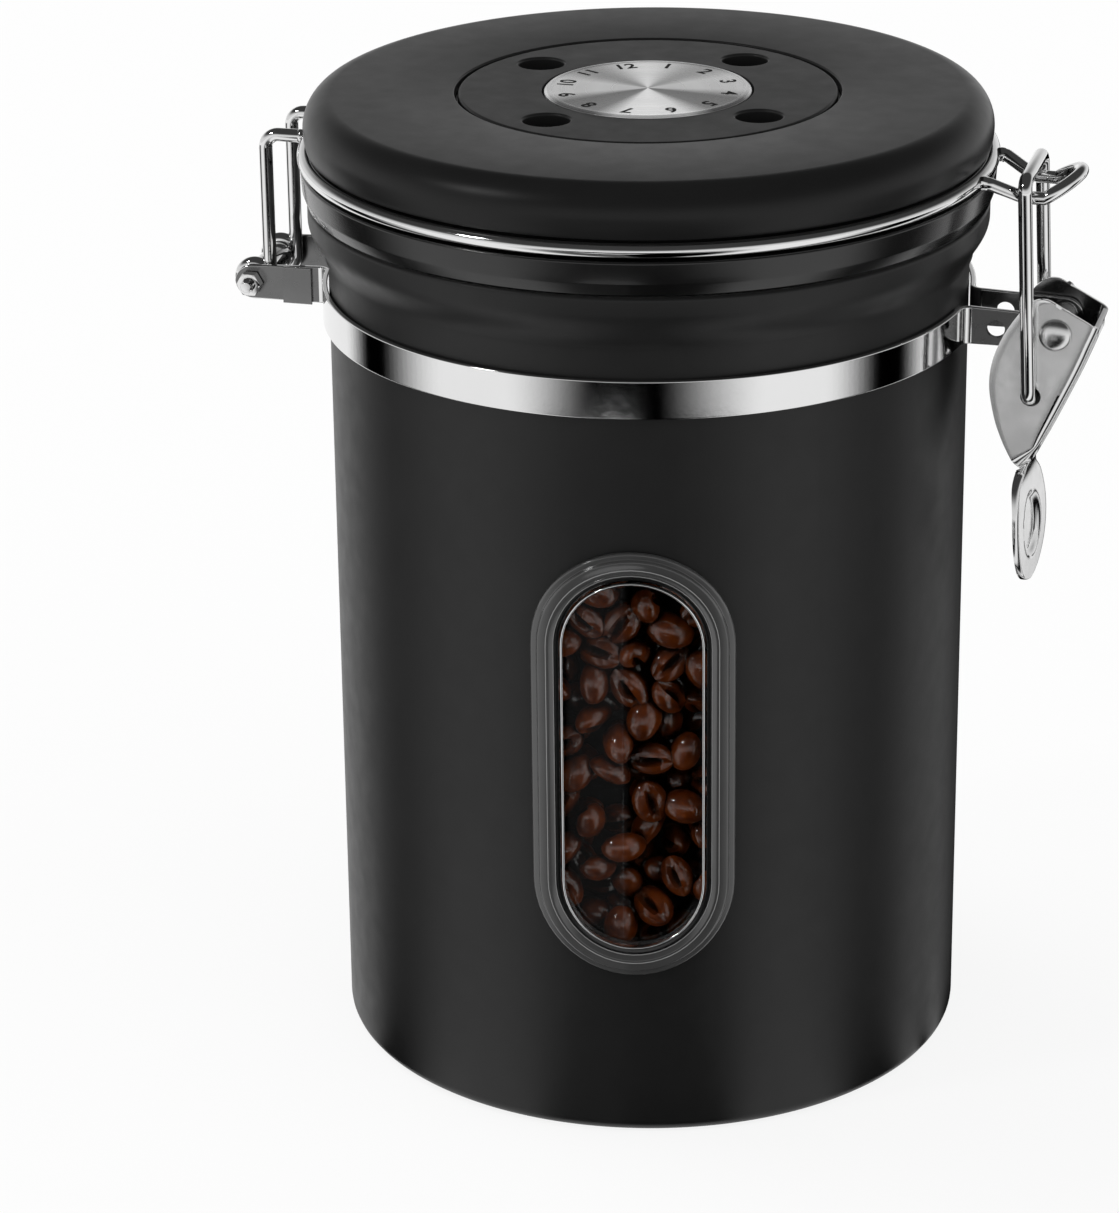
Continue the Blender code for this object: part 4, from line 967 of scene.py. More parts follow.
def window():
    face = BODY_RADIUS + FIT_GAP
    top = face + BEZEL_RISE
    ridge = top + RIDGE_RISE
    ridge_end = RIDGE_INSET + RIDGE_WIDTH
    step = BEZEL_FLANGE - STEP_WIDTH
    ledge = top - PANE_SETBACK
    neck = BEZEL_FLANGE - NECK_WALL
    bezel = [
        (0, face, FINE_EDGE), (0, top, SOFT_EDGE), (RIDGE_INSET, top, FINE_EDGE),
        (RIDGE_INSET + FINE_EDGE, ridge, SOFT_EDGE), (ridge_end, ridge, SOFT_EDGE),
        (step, top, SOFT_EDGE), (step, ledge), (BEZEL_FLANGE, ledge),
        (BEZEL_FLANGE, face - NECK_DEPTH, FINE_EDGE), (neck, face - NECK_DEPTH, FINE_EDGE),
        (neck, face),
    ]
    dress(slot_ring("bezel", bezel), SMOKE, "canister", "window_bezel")
    # Painted highlights: thin pale strips on the bezel's outer ridge and on its inner step stand
    # for the lit edges of the clear plastic
    for name, inset, crest in (("outer", ridge_end - SOFT_EDGE, ridge), ("inner", step, top)):
        line = oblong(inset - LINE_WIDTH, inset, crest - LINE_WIDTH, crest + LINE_WIDTH / 2)
        dress(slot_ring("bezel_line_" + name, line), LIT, "canister")
    foot = ledge + FINE_EDGE
    # Painted shade: a near-black gloss ring lies in the bezel's groove, between the step and the
    # flange's edge, so the groove reads dark
    groove_shade = [
        (step + BEAD_GAP, foot), (step + BEAD_GAP, top - BEAD_GAP, SOFT_EDGE),
        (BEZEL_FLANGE, top - SOFT_EDGE, SOFT_EDGE), (BEZEL_FLANGE, foot),
    ]
    dress(slot_ring("groove_shade_ring", groove_shade), GLOSS, "canister")
    edge = BEZEL_FLANGE + FIT_GAP
    foot = ledge + FIT_GAP
    crest = foot + TRIM_THICKNESS
    trim = oblong(edge, edge + TRIM_WIDTH, crest, foot, SOFT_EDGE, SOFT_EDGE, 0, 0)
    dress(slot_ring("trim", trim), CHROME, "canister", "window_trim")
    pane(edge, ledge)
    back = BODY_RADIUS - BODY_WALL - FIT_GAP
    inner = neck - FIT_GAP
    layers = (
        ("window_seal", SEAL_THICKNESS, RUBBER, "window_gasket"),
        ("window_clamp", RETAINER_THICKNESS, PLASTIC, "window_retainer"),
    )
    for name, thickness, look, stands_for in layers:
        section = oblong(inner - RETAINER_WIDTH, inner, back, back - thickness, *FINE_EDGES)
        dress(slot_ring(name, section), look, "canister", stands_for)
        back -= thickness + FIT_GAP


def pane(edge, face):
    """The curved pane: nested slots on its outer and inner faces, joined at the rim."""
    half = BEZEL_WIDTH / 2 - edge
    outline = slot_path(BEZEL_WIDTH / 2, BEZEL_LENGTH / 2)
    insets = [edge + half * k / PANE_STEPS for k in range(PANE_STEPS + 1)]
    insets[-1] -= WELD * 3
    rows = [(inset, face - PANE_THICKNESS) for inset in reversed(insets)]
    rows += [(inset, face) for inset in insets]
    verts = []
    for inset, radius in rows:
        verts += [slot_point(spot, way, inset, radius) for spot, way in outline]
    faces = lattice(len(rows), len(outline)) + capped(len(rows), len(outline))
    dress(made("pane", verts, faces), PANE, "canister", "window_pane")


# Band and hinge hardware

def strap_path(side):
    """The middle line of a half strap in plan: hinge ear, fold, arc, fold, latch ear."""
    middle = BODY_RADIUS + FIT_GAP + BAND_THICKNESS / 2
    cap = EAR_HEIGHT / 2
    runs = []
    leans = []
    for reach, spread, way in ((HINGE_REACH, HINGE_EAR_SPREAD, -1), (PIVOT_REACH, EAR_SPREAD, 1)):
        lean = math.asin((spread + EAR_FOLD) / (middle + EAR_FOLD))
        centre = ((middle + EAR_FOLD) * math.cos(lean), spread + EAR_FOLD)
        run = []
        for k in range(EAR_STEPS + 1):
            run.append((reach + cap * math.cos(QUARTER * k / EAR_STEPS), spread))
        run += arc(centre, (EAR_FOLD, EAR_FOLD), -QUARTER, lean - math.pi, FOLD_STEPS)
        runs.append([Vector((way * x, side * y)) for x, y in run])
        leans.append(lean)
    start = math.pi - leans[0]
    body = arc((0, 0), (middle, side * middle), start, leans[1], LATHE_STEPS // 2)
    return runs[0] + [Vector(point) for point in body[1:-1]] + list(reversed(runs[1]))


def strap_section(low, high, thickness, edge):
    """A rounded rectangle of (thickness, height) points."""
    half = thickness / 2
    edge = min(edge, (high - low) / 2.1)
    corners = [(half, high, edge), (half, low, edge), (-half, low, edge), (-half, high, edge)]
    return rounded(corners)


def strap(name, path, limits, thickness, edge):
    """Sweep a rounded strip along a plan path, its height limits given by place."""
    verts = []
    for i, spot in enumerate(path):
        way = heading(path, i)
        normal = Vector((way.y, -way.x))
        section = strap_section(*limits(spot), thickness, edge)
        for shift, z in section:
            place = spot + normal * shift
            verts.append((place.x, place.y, z))
    count = len(section)
    return made(name, verts, lattice(len(path), count) + capped(len(path), count))


def band(name, side, stands_for):
    """A half strap with folded, rounded and drilled ears."""
    half = EAR_HEIGHT / 2
    waist = BODY_RADIUS + EAR_FOLD + BAND_THICKNESS * 2

    def limits(spot):
        reach = HINGE_REACH if spot.x < 0 else PIVOT_REACH
        beyond = abs(spot.x) - reach
        if beyond > 0:
            height = math.sqrt(max(half ** 2 - beyond ** 2, (half / 40) ** 2))
            return EAR_CENTRE - height, EAR_CENTRE + height
        grow = ease((waist + half - abs(spot.x)) / half)
        return BAND_FOOT, BAND_FOOT + EAR_HEIGHT + (BAND_HEIGHT - EAR_HEIGHT) * grow

    result = strap(name, strap_path(side), limits, BAND_THICKNESS, BAND_EDGE)
    holes = (
        (-HINGE_REACH, HINGE_EAR_SPREAD, BOLT_RADIUS + FIT_GAP),
        (PIVOT_REACH, EAR_SPREAD, RIVET_RADIUS + FIT_GAP),
        (SPARE_HOLE_REACH, EAR_SPREAD, SPARE_HOLE_RADIUS),
    )
    for x, y, radius in holes:
        drill(result, radius, OVERRUN, across(x, side * y, EAR_CENTRE))
    dress(result, CHROME, "canister", stands_for, flat=True)
    # The ears' flat faces take the dark chrome
    finish_flats(result, DARK_CHROME, lambda face: abs(face.center.x) > waist)


def finish_flats(target, look, chosen):
    """Give the chosen ones of the flat faces that look along Y a material of their own: a finish,
    or painted shade.
    """
    target.data.materials.append(look.material)
    index = len(target.data.materials) - 1
    for face in target.data.polygons:
        if abs(face.normal.y) > FLAT_COSINE and chosen(face):
            face.material_index = index


def doubler(name, side):
    """The short second layer where the hinge ear leaves the can."""
    spread = HINGE_EAR_SPREAD + BAND_THICKNESS / 2 + DOUBLER_THICKNESS / 2
    start = -(BODY_RADIUS + EAR_FOLD + BAND_THICKNESS)
    end = start - DOUBLER_LENGTH
    steps = 12
    path = [Vector((start + (end - start) * k / steps, side * spread)) for k in range(steps + 1)]

    def limits(spot):
        return BAND_FOOT - BAND_EDGE, BAND_FOOT + EAR_HEIGHT + BAND_EDGE

    piece = strap(name, path, limits, DOUBLER_THICKNESS, DOUBLER_THICKNESS / 3)
    dress(piece, CHROME, "canister")
    # Both flat faces of the doubler take the dark chrome
    finish_flats(piece, DARK_CHROME, lambda face: True)


def hinge_hardware():
    middle = across(-HINGE_REACH, 0, EAR_CENTRE)
    face = HINGE_EAR_SPREAD + BAND_THICKNESS / 2 + FIT_GAP
    end = face + NUT_HEIGHT + BOLT_TIP
    section = [(0, face + BOLT_HEAD_HEIGHT)]
    section += arc((0, face), (BOLT_HEAD_RADIUS, BOLT_HEAD_HEIGHT), QUARTER, 0, HEAD_STEPS)[1:]
    section += [(BOLT_RADIUS, face)]
    level = -HINGE_WIRE_SPREAD
    while level - THREAD_PITCH > -end + THREAD_DEPTH:
        section.append((BOLT_RADIUS, level))
        section.append((BOLT_RADIUS - THREAD_DEPTH, level - THREAD_PITCH / 2))
        level -= THREAD_PITCH
    section += [(BOLT_RADIUS - THREAD_DEPTH * 2, -end, THREAD_DEPTH), (0, -end)]
    flip = Matrix.Rotation(math.pi, 4, "X")
    bolt = lathe("bolt", section, SMALL_LATHE_STEPS, middle @ flip)
    dress(bolt, CHROME, "canister", "hinge_bolt")
    hinge_nut(face)
    inner = BOLT_RADIUS + FIT_GAP
    half = HINGE_WIRE_SPREAD - RING_WIRE - FIT_GAP
    section = oblong(inner, inner + SLEEVE_WALL, half, -half, *OUTER_EDGES)
    sleeve = lathe("sleeve", section, SMALL_LATHE_STEPS, middle)
    dress(sleeve, CHROME, "canister", "hinge_sleeve")


def hinge_nut(face):
    """The hexagon nut, its corners rounded off at both ends."""
    half = NUT_HEIGHT / 2
    nut = lathe("nut", oblong(BOLT_RADIUS + FIT_GAP / 2, NUT_RADIUS, half, -half), NUT_SIDES)
    round_to = NUT_RADIUS * math.cos(math.pi / NUT_SIDES)
    chamfer = (NUT_RADIUS - round_to) / 2
    clear = NUT_RADIUS + WELD * 9
    keep = [
        (0, half), (round_to, half), (clear, half - chamfer), (clear, -half + chamfer),
        (round_to, -half), (0, -half),
    ]
    carve(nut, lathe("nut_round", keep, SMALL_LATHE_STEPS), "INTERSECT")
    nut.data.transform(across(-HINGE_REACH, -face - half, EAR_CENTRE))
    dress(nut, CHROME, "canister", "hinge_nut", flat=True)


# Lid

def lid_shell():
    hole = DISC_RADIUS + FIT_GAP * 2
    flat = LID_RADIUS - LID_EDGE_RUN
    skirt = SHELL_FOOT + LID_SKIRT
    rise = LID_HEIGHT - LID_SKIRT
    section = [(hole, LID_TOP, SOFT_EDGE)]
    section += arc((flat, skirt), (LID_EDGE_RUN, rise), QUARTER, 0, LID_EDGE_STEPS)
    steps = 6
    for k in range(1, steps + 1):
        share = k / steps
        section.append((LID_RADIUS - LID_TUCK * share * share, skirt - LID_SKIRT * share))
    section[-1] = (*section[-1], FINE_EDGE)
    section += [(LID_RADIUS - LID_TUCK - SHELL_WALL, SHELL_FOOT)]
    inner_run = LID_EDGE_RUN - SHELL_WALL
    section += arc((flat, skirt), (inner_run, rise - SHELL_WALL), 0, QUARTER, LID_INNER_STEPS)
    section += [(hole + SHELL_WALL, LID_TOP - SHELL_WALL)]
    section += [(hole + SHELL_WALL, LID_TOP - LIP_DEPTH), (hole, LID_TOP - LIP_DEPTH)]
    dress(lathe("lid_dome", section), LID_COATED, "lid", "lid_shell")


def lid_base():
    seat_top = DISC_FOOT - FIT_GAP
    seat_inner = DISC_RADIUS - FIT_GAP * 3
    seat_outer = seat_inner + SEAT_WIDTH
    shoulder = LID_TOP - SHOULDER_DROP
    neck = RING_RADIUS - RING_WIRE - FIT_GAP
    shoulder_radius = LID_RADIUS - LID_TUCK - SHELL_WALL - FIT_GAP
    recess = GASKET_OUTER + FIT_GAP
    ledge = PLUG_RADIUS - LEDGE_WIDTH
    wall = neck - MOULD_WALL
    section = [
        (seat_inner, seat_top), (seat_outer, seat_top), (seat_outer, shoulder),
        (shoulder_radius - FIT_GAP, shoulder, FINE_EDGE), (neck, SHELL_FOOT, SOFT_EDGE),
        (neck, FLANGE_TOP, FINE_EDGE), (FLANGE_RADIUS, FLANGE_TOP, FLANGE_ROUND),
        (FLANGE_RADIUS - FLANGE_DRAFT / 4, LID_FOOT + FLANGE_HEIGHT / 3, FLANGE_HEIGHT / 5),
        (FLANGE_RADIUS - FLANGE_DRAFT, LID_FOOT, FINE_EDGE),
        (recess, LID_FOOT), (recess, LEDGE_FOOT), (ledge, LEDGE_FOOT),
        (ledge, LEDGE_FOOT + MOULD_WALL), (wall, LEDGE_FOOT + MOULD_WALL),
        (wall, shoulder - MOULD_WALL), (seat_inner, shoulder - MOULD_WALL),
    ]
    dress(lathe("lid_flange", section), GLOSS, "lid", "lid_base")


def lid_liner():
    top = LEDGE_FOOT - FIT_GAP
    ceiling_top = CEILING + MOULD_WALL
    rim = GASKET_OUTER - GASKET_WIDTH - FIT_GAP
    ledge = PLUG_RADIUS - LEDGE_WIDTH
    bore = VALVE_RADIUS + FIT_GAP
    boss = bore + BOSS_WALL
    shoulder = LID_FOOT - FIT_GAP
    waist = LID_FOOT - PLUG_DEPTH * 3 / 5
    waist_radius = PLUG_RADIUS - PLUG_TAPER * 2 / 3
    tip = PLUG_RADIUS - PLUG_TAPER
    lean = (PLUG_RADIUS - waist_radius) / (shoulder - waist)
    section = [
        (bore, CHAMBER, FINE_EDGE), (boss, CHAMBER, FINE_EDGE), (boss, ceiling_top),
        (ledge, ceiling_top), (ledge, top), (rim, top), (rim, LID_FOOT),
        (PLUG_RADIUS, shoulder, SOFT_EDGE), (waist_radius, waist, OVERRUN),
        (tip, PLUG_FOOT + PLUG_ROUND, SOFT_EDGE), (tip - PLUG_ROUND, PLUG_FOOT, SOFT_EDGE),
        (tip - PLUG_WALL - PLUG_ROUND, PLUG_FOOT, SOFT_EDGE),
        (waist_radius - PLUG_WALL, waist, OVERRUN),
        (PLUG_RADIUS - PLUG_WALL - lean * (shoulder - CEILING), CEILING, SOFT_EDGE),
        (boss, CEILING, SOFT_EDGE), (boss, BOSS_FOOT, SOFT_EDGE), (bore, BOSS_FOOT),
    ]
    dress(lathe("lid_plug", section), PLASTIC, "lid", "lid_liner")


def lid_gasket():
    inner = GASKET_OUTER - GASKET_WIDTH
    foot = RIM_HEIGHT + FIT_GAP
    soft = GASKET_THICKNESS / 3
    edges = (FINE_EDGE, FINE_EDGE, soft, soft)
    section = oblong(inner, GASKET_OUTER, LEDGE_FOOT - FIT_GAP, foot, *edges)
    dress(lathe("lid_seal", section), SILICONE, "lid", "lid_gasket")


def vent_disc():
    recess = DIAL_RADIUS + FIT_GAP * 1.5
    floor = DIAL_FOOT - FIT_GAP
    bore = PIN_RADIUS + FIT_GAP
    step = DISC_RADIUS - FIT_GAP * 4
    edge = DISC_THICKNESS * 2 / 5
    section = [
        (recess, DISC_TOP, FINE_EDGE), (DISC_RADIUS, DISC_TOP, edge), (DISC_RADIUS, DISC_FOOT),
        (step, DISC_FOOT), (step, DISC_FOOT - DISC_BOSS), (bore, DISC_FOOT - DISC_BOSS),
        (bore, floor), (recess, floor),
    ]
    disc = lathe("lid_disc", section)
    deep = DISC_FOOT - DISC_BOSS - OVERRUN
    wide = VENT_RADIUS + VENT_FLARE
    above = DISC_TOP + OVERRUN
    centre = (wide, DISC_TOP - VENT_FLARE)
    flare = arc(centre, (VENT_FLARE, VENT_FLARE), QUARTER, math.pi, ROUND_STEPS)
    cutter = [(0, above), (wide, above)] + flare + [(VENT_RADIUS, deep), (0, deep)]
    for i in range(VENT_COUNT):
        angle = VENT_TURN + math.tau * i / VENT_COUNT
        place = Matrix.Translation(polar(VENT_REACH, angle, 0))
        carve(disc, lathe("vent_cut", cutter, SMALL_LATHE_STEPS, place))
    dress(disc, COATED, "lid", "vent_disc", flat=True)


# Dial

def dial():
    face = DIAL_TOP - DIAL_SINK
    lip = DIAL_RADIUS - DIAL_BEVEL
    section = [
        (0, face), (lip - DIAL_BEVEL * 2, face, DIAL_SINK), (lip - DIAL_BEVEL, DIAL_TOP, DIAL_SINK),
        (lip, DIAL_TOP, FINE_EDGE), (DIAL_RADIUS, DIAL_TOP - DIAL_BEVEL, FINE_EDGE),
        (DIAL_RADIUS, DIAL_FOOT), (0, DIAL_FOOT),
    ]
    dress(lathe("dial_plate", section), BRUSHED, "dial", "date_dial")
    for i in range(NUMBER_COUNT):
        number(i + 1, QUARTER - math.tau * i / NUMBER_COUNT, face)
    top = DIAL_FOOT - FIT_GAP
    foot = top - PIN_LENGTH
    section = [
        (0, top), (PIN_RADIUS, top), (PIN_RADIUS, foot + PIN_HEAD_HEIGHT),
        (PIN_HEAD_RADIUS, foot + PIN_HEAD_HEIGHT, FINE_EDGE),
        (PIN_HEAD_RADIUS - PIN_HEAD_HEIGHT / 2, foot, FINE_EDGE), (0, foot),
    ]
    dress(lathe("pin", section, SMALL_LATHE_STEPS), PLASTIC, "dial", "dial_pin")
    bore = PIN_RADIUS + FIT_GAP
    seat = foot + PIN_HEAD_HEIGHT + FIT_GAP
    section = oblong(bore, CLIP_RADIUS, seat + CLIP_THICKNESS, seat, *OUTER_EDGES)
    dress(lathe("clip", section, SMALL_LATHE_STEPS), PLASTIC, "dial", "dial_clip")


def number(value, angle, face):
    """One printed number of the dial, its top toward the rim."""
    text = bpy.data.curves.new("digits", "FONT")
    text.body = str(value)
    text.size = NUMBER_SIZE
    text.align_x = "CENTER"
    text.align_y = "CENTER"
    text.extrude = NUMBER_THICKNESS / 2
    text.offset = NUMBER_BOLDNESS
    source = placed("digits", text)
    mesh = evaluated(source)
    bpy.data.objects.remove(source, do_unlink=True)
    bpy.data.curves.remove(text)
    spot = polar(DIAL_RADIUS * NUMBER_REACH_SHARE, angle, face)
    mesh.transform(Matrix.Translation(spot) @ Matrix.Rotation(angle - QUARTER, 4, "Z"))
    result = placed("dial_number_" + str(value), mesh)
    mesh.materials.clear()
    mesh.materials.append(INK.material)
    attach(result, "dial")


# Valve

def valve():
    flange_top = BOSS_FOOT - FIT_GAP
    foot = flange_top - VALVE_FLANGE_HEIGHT
    seat = foot + VALVE_SEAT_RISE
    bore = VALVE_RADIUS - VALVE_WALL
    top = CHAMBER - VALVE_TOP_DROP
    section = [
        (bore, top, FINE_EDGE), (VALVE_RADIUS, top, FINE_EDGE), (VALVE_RADIUS, flange_top),
        (VALVE_FLANGE, flange_top, FINE_EDGE), (VALVE_FLANGE, foot, SOFT_EDGE),
        (bore, foot, SOFT_EDGE), (bore, seat), (VALVE_PORT_RADIUS, seat, FINE_EDGE),
        (VALVE_PORT_RADIUS, seat + VALVE_SEAT_THICKNESS, FINE_EDGE),
        (bore, seat + VALVE_SEAT_THICKNESS),
    ]
    dress(lathe("valve_shell", section, LATHE_STEPS // 2), PLASTIC, "lid", "valve_body")
    flap_top = seat - FIT_GAP
    flap_foot = flap_top - MEMBRANE_THICKNESS
    section = oblong(0, bore - MEMBRANE_MARGIN, flap_top, flap_foot, *OUTER_EDGES)
    dress(lathe("valve_flap", section, SMALL_LATHE_STEPS), SILICONE, "lid", "valve_membrane")
    cap_top = flap_foot - FIT_GAP
    cap_foot = cap_top - VALVE_CAP_THICKNESS
    section = oblong(0, bore - FIT_GAP, cap_top, cap_foot, 0, 0, FINE_EDGE, 0)
    cap = lathe("valve_cover", section, SMALL_LATHE_STEPS)
    depth = VALVE_CAP_THICKNESS
    for i in range(VALVE_CAP_HOLES):
        angle = math.tau * i / VALVE_CAP_HOLES
        spot = polar(VALVE_CAP_HOLE_REACH, angle, cap_foot + depth / 2)
        place = Matrix.Translation(spot)
        drill(cap, VALVE_CAP_HOLE_RADIUS, depth, place, SMALL_LATHE_STEPS // 2)
    dress(cap, PLASTIC, "lid", "valve_cap", flat=True)


# Wire work on the lid

def ring_edge(spread, gap):
    return math.sqrt(RING_RADIUS ** 2 - spread ** 2) + RING_WIRE + gap


def bead(name, place, thick):
    """A small lumpy weld bead stretched along X."""
    work = bmesh.new()
    bmesh.ops.create_icosphere(work, subdivisions=3, radius=1)
    spot = Vector(place)
    for vert in work.verts:
        lump = 1 + noise.noise(vert.co * BEAD_LUMPS + spot * BEAD_VARIETY) / 6
        shape = Vector((vert.co.x * WELD_BEAD, vert.co.y * thick, vert.co.z * thick))
        vert.co = spot + shape * lump
    dress(from_work(name, work), CHROME, "lid")


def lid_wires():
    points = []
    for i in range(LATHE_STEPS):
        points.append(polar(RING_RADIUS, math.tau * i / LATHE_STEPS, RING_HEIGHT))
    dress(tube("ring", points, RING_WIRE, closed=True), CHROME, "lid", "ring_wire")
    start = -ring_edge(HINGE_WIRE_SPREAD, FIT_GAP)
    leg = -HINGE_REACH + EYE_RADIUS
    for name, side in SIDES:
        y = side * HINGE_WIRE_SPREAD
        corners = [(start, y, RING_HEIGHT), (leg, y, RING_HEIGHT), (leg, y, EAR_CENTRE)]
        centre = (-HINGE_REACH, EAR_CENTRE)
        eye = arc(centre, (EYE_RADIUS, EYE_RADIUS), 0, EYE_OPENING - math.tau, EYE_STEPS)
        points = bent(corners, HINGE_WIRE_BEND) + [(x, y, z) for x, z in eye[1:]]
        piece = tube("hinge_leg_" + name, points, RING_WIRE)
        dress(piece, CHROME, "lid", "hinge_wire_" + name)
        bead("hinge_weld_" + name, (start, y, RING_HEIGHT), RING_WIRE * RING_BEAD_SHARE)
    root = ring_edge(CATCH_ROOT_SPREAD, FIT_GAP)
    side = bent([
        (root, CATCH_ROOT_SPREAD, RING_HEIGHT),
        (root + CATCH_STUB, CATCH_ROOT_SPREAD, RING_HEIGHT),
        (CATCH_NECK, CATCH_SPREAD, CATCH_HEIGHT),
        (CATCH_FLAT_END, CATCH_SPREAD, CATCH_HEIGHT),
    ], CATCH_BEND)
    for out, spread in arc((0, 0), (1, 1), QUARTER, 0)[1:]:
        rise = CATCH_HEIGHT + CATCH_TIP_RISE * out
        side.append(Vector((CATCH_FLAT_END + CATCH_TIP_RUN * out, CATCH_SPREAD * spread, rise)))
    other = [Vector((spot.x, -spot.y, spot.z)) for spot in side[:-1]]
    path = side + list(reversed(other))
    dress(tube("catch", path, CATCH_WIRE), CHROME, "lid", "catch_wire")
    for name, sign in SIDES:
        spot = (root, sign * CATCH_ROOT_SPREAD, RING_HEIGHT)
        bead("catch_weld_" + name, spot, CATCH_WIRE * CATCH_BEAD_SHARE)


# Latch

def lever_place(share):
    return Vector((PIVOT_REACH + share[0] * LEVER_SPAN, EAR_CENTRE + share[1] * LEVER_SPAN))


def lever_half_width(z):
    """Half the lever's width at a height: channel, neck, then the oval tab."""
    neck_start = EAR_CENTRE - CHANNEL_END_SHARE * LEVER_SPAN
    neck_end = EAR_CENTRE - NECK_START_SHARE * LEVER_SPAN
    centre = EAR_CENTRE - TAB_CENTRE_DROP
    slide = ease((neck_start - z) / (neck_start - neck_end))
    neck = CHEEK_OUTER + (NECK_HALF_WIDTH - CHEEK_OUTER) * slide
    lift = (z - centre) / TAB_HALF_LENGTH
    tab = TAB_HALF_WIDTH * math.sqrt(max(1 - lift * lift, 0))
    return max(tab, neck) if z > centre else tab


def lever_rows():
    """The folded sheet's rows of points: cheek, rolled corner, web, corner and cheek."""
    spine = smooth([lever_place(share) for share in SPINE_SHARES], LEVER_STEPS)
    cheek = smooth([lever_place(share) for share in EDGE_SHARES], LEVER_STEPS)
    last = len(cheek) - 1
    dish = EAR_CENTRE - TAB_CENTRE_DROP - DISH_LOWER
    start = spine[-1 - LEVER_STEPS]
    tail = spine[-1] - start
    spine = spine[:-LEVER_STEPS]
    spine += [start + tail * math.sin(QUARTER * k / TIP_STEPS) for k in range(1, TIP_STEPS + 1)]
    rows = []
    for i, spot in enumerate(spine):
        way = heading(spine, i)
        normal = Vector((-way.y, way.x))
        half = max(lever_half_width(spot.y), FIT_GAP)
        if i <= last:
            inward = cheek[i] - spot
        else:
            inward = cheek[last] - spine[last]
            shrink = ease((i - last) / (LEVER_STEPS * 2))
            inward = (-normal) * (inward.length * (1 - shrink) + TAB_RIM * shrink)
        depth = inward.length
        way_in = inward.normalized()
        to_tab = ease((i - last + LEVER_STEPS) / (LEVER_STEPS * 2))
        corner = LEVER_CORNER + (TAB_CORNER - LEVER_CORNER) * to_tab
        corner = min(corner, half * CORNER_SHARE, depth * CORNER_SHARE)
        side = []
        for k in range(CHEEK_STEPS):
            share = 1 - k / CHEEK_STEPS
            side.append((spot + way_in * (corner + (depth - corner) * share), half))
        for k in range(CORNER_STEPS + 1):
            turn = QUARTER * k / CORNER_STEPS
            fold = spot + way_in * (corner * (1 - math.sin(turn)))
            side.append((fold, half - corner * (1 - math.cos(turn))))
        row = [(place, -y) for place, y in side]
        flat = half - corner
        fade = ease((last - i) / (LEVER_STEPS * 1.5)) * ease((i - LEVER_STEPS) / LEVER_STEPS)
        for k in range(1, WEB_STEPS):
            y = -flat + 2 * flat * k / WEB_STEPS
            edge = abs(y) - (half - BEAD_INSET)
            rise = BEAD_RISE * (1 - ease(abs(edge) / BEAD_WIDTH)) * fade
            lift = math.hypot((spot.y - dish) / DISH_HALF_LENGTH, y / DISH_HALF_WIDTH)
            press = DISH_DEPTH * (1 - ease((lift - DISH_FLAT_SHARE) / (1 - DISH_FLAT_SHARE)))
            row.append((spot + normal * (rise - press), y))
        row += reversed(side)
        twist = TAB_TWIST * to_tab
        rows.append([
            (place.x + y * math.sin(twist), y * math.cos(twist), place.y) for place, y in row
        ])
    return rows


def lever():
    """The pressed lever as one folded sheet: cheeks, rolled corners, ribbed web, dished tab."""
    rows = lever_rows()
    verts = [spot for row in rows for spot in row]
    sheet = made("lever", verts, lattice(len(rows), len(rows[0]), joined=False))
    thick = sheet.modifiers.new("sheet", "SOLIDIFY")
    thick.thickness = LEVER_SHEET
    thick.offset = -1
    settle(sheet)
    edge = sheet.modifiers.new("edge", "BEVEL")
    edge.width = LEVER_SHEET / 3
    edge.segments = 2
    edge.limit_method = "ANGLE"
    edge.angle_limit = CREASE_ANGLE
    settle(sheet)
    drill(sheet, LOOP_HOLE_RADIUS, CHEEK_OUTER * 2, across(LOOP_HOLE_REACH, 0, LOOP_HOLE_HEIGHT))
    dress(sheet, PRESSED, "latch_lever", "latch_lever")
    finish_flats(sheet, SATIN, lambda face: face.normal.y * face.center.y > 0)
    # Painted shade: the cheeks' inner faces, inside the channel, take the dark chrome
    finish_flats(sheet, DARK_CHROME, lambda face: face.normal.y * face.center.y < 0)


def loop():
    y = LOOP_SPREAD
    corners = [
        (LOOP_BAR_REACH, -y, LOOP_BAR_HEIGHT), (LOOP_BAR_REACH, y, LOOP_BAR_HEIGHT),
        (LOOP_HOLE_REACH, y, LOOP_HOLE_HEIGHT), (LOOP_HOLE_REACH, -y, LOOP_HOLE_HEIGHT),
    ]
    piece = tube("link", bent(corners, LOOP_BEND, closed=True), LOOP_WIRE, closed=True)
    dress(piece, CHROME, "latch_loop", "latch_loop")


def latch_rivet():
    face = CHEEK_OUTER + FIT_GAP
    dome = arc((0, face), (RIVET_HEAD_RADIUS, RIVET_HEAD_HEIGHT), QUARTER, 0, DOME_STEPS)
    head = [(0, face + RIVET_HEAD_HEIGHT)] + dome[1:] + [(RIVET_RADIUS, face)]
    section = head + [(radius, -height) for radius, height in reversed(head)]
    place = across(PIVOT_REACH, 0, EAR_CENTRE)
    rivet = lathe("rivet", section, SMALL_LATHE_STEPS, place)
    dress(rivet, DOMED, "canister", "latch_rivet")
    inner = RIVET_RADIUS + FIT_GAP
    half = EAR_SPREAD - BAND_THICKNESS / 2 - FIT_GAP
    section = oblong(inner, inner + SPACER_WALL, half, -half, *FINE_EDGES)
    spacer = lathe("spacer", section, SMALL_LATHE_STEPS, place)
    dress(spacer, CHROME, "canister", "latch_spacer")


# Beans behind the window and on top

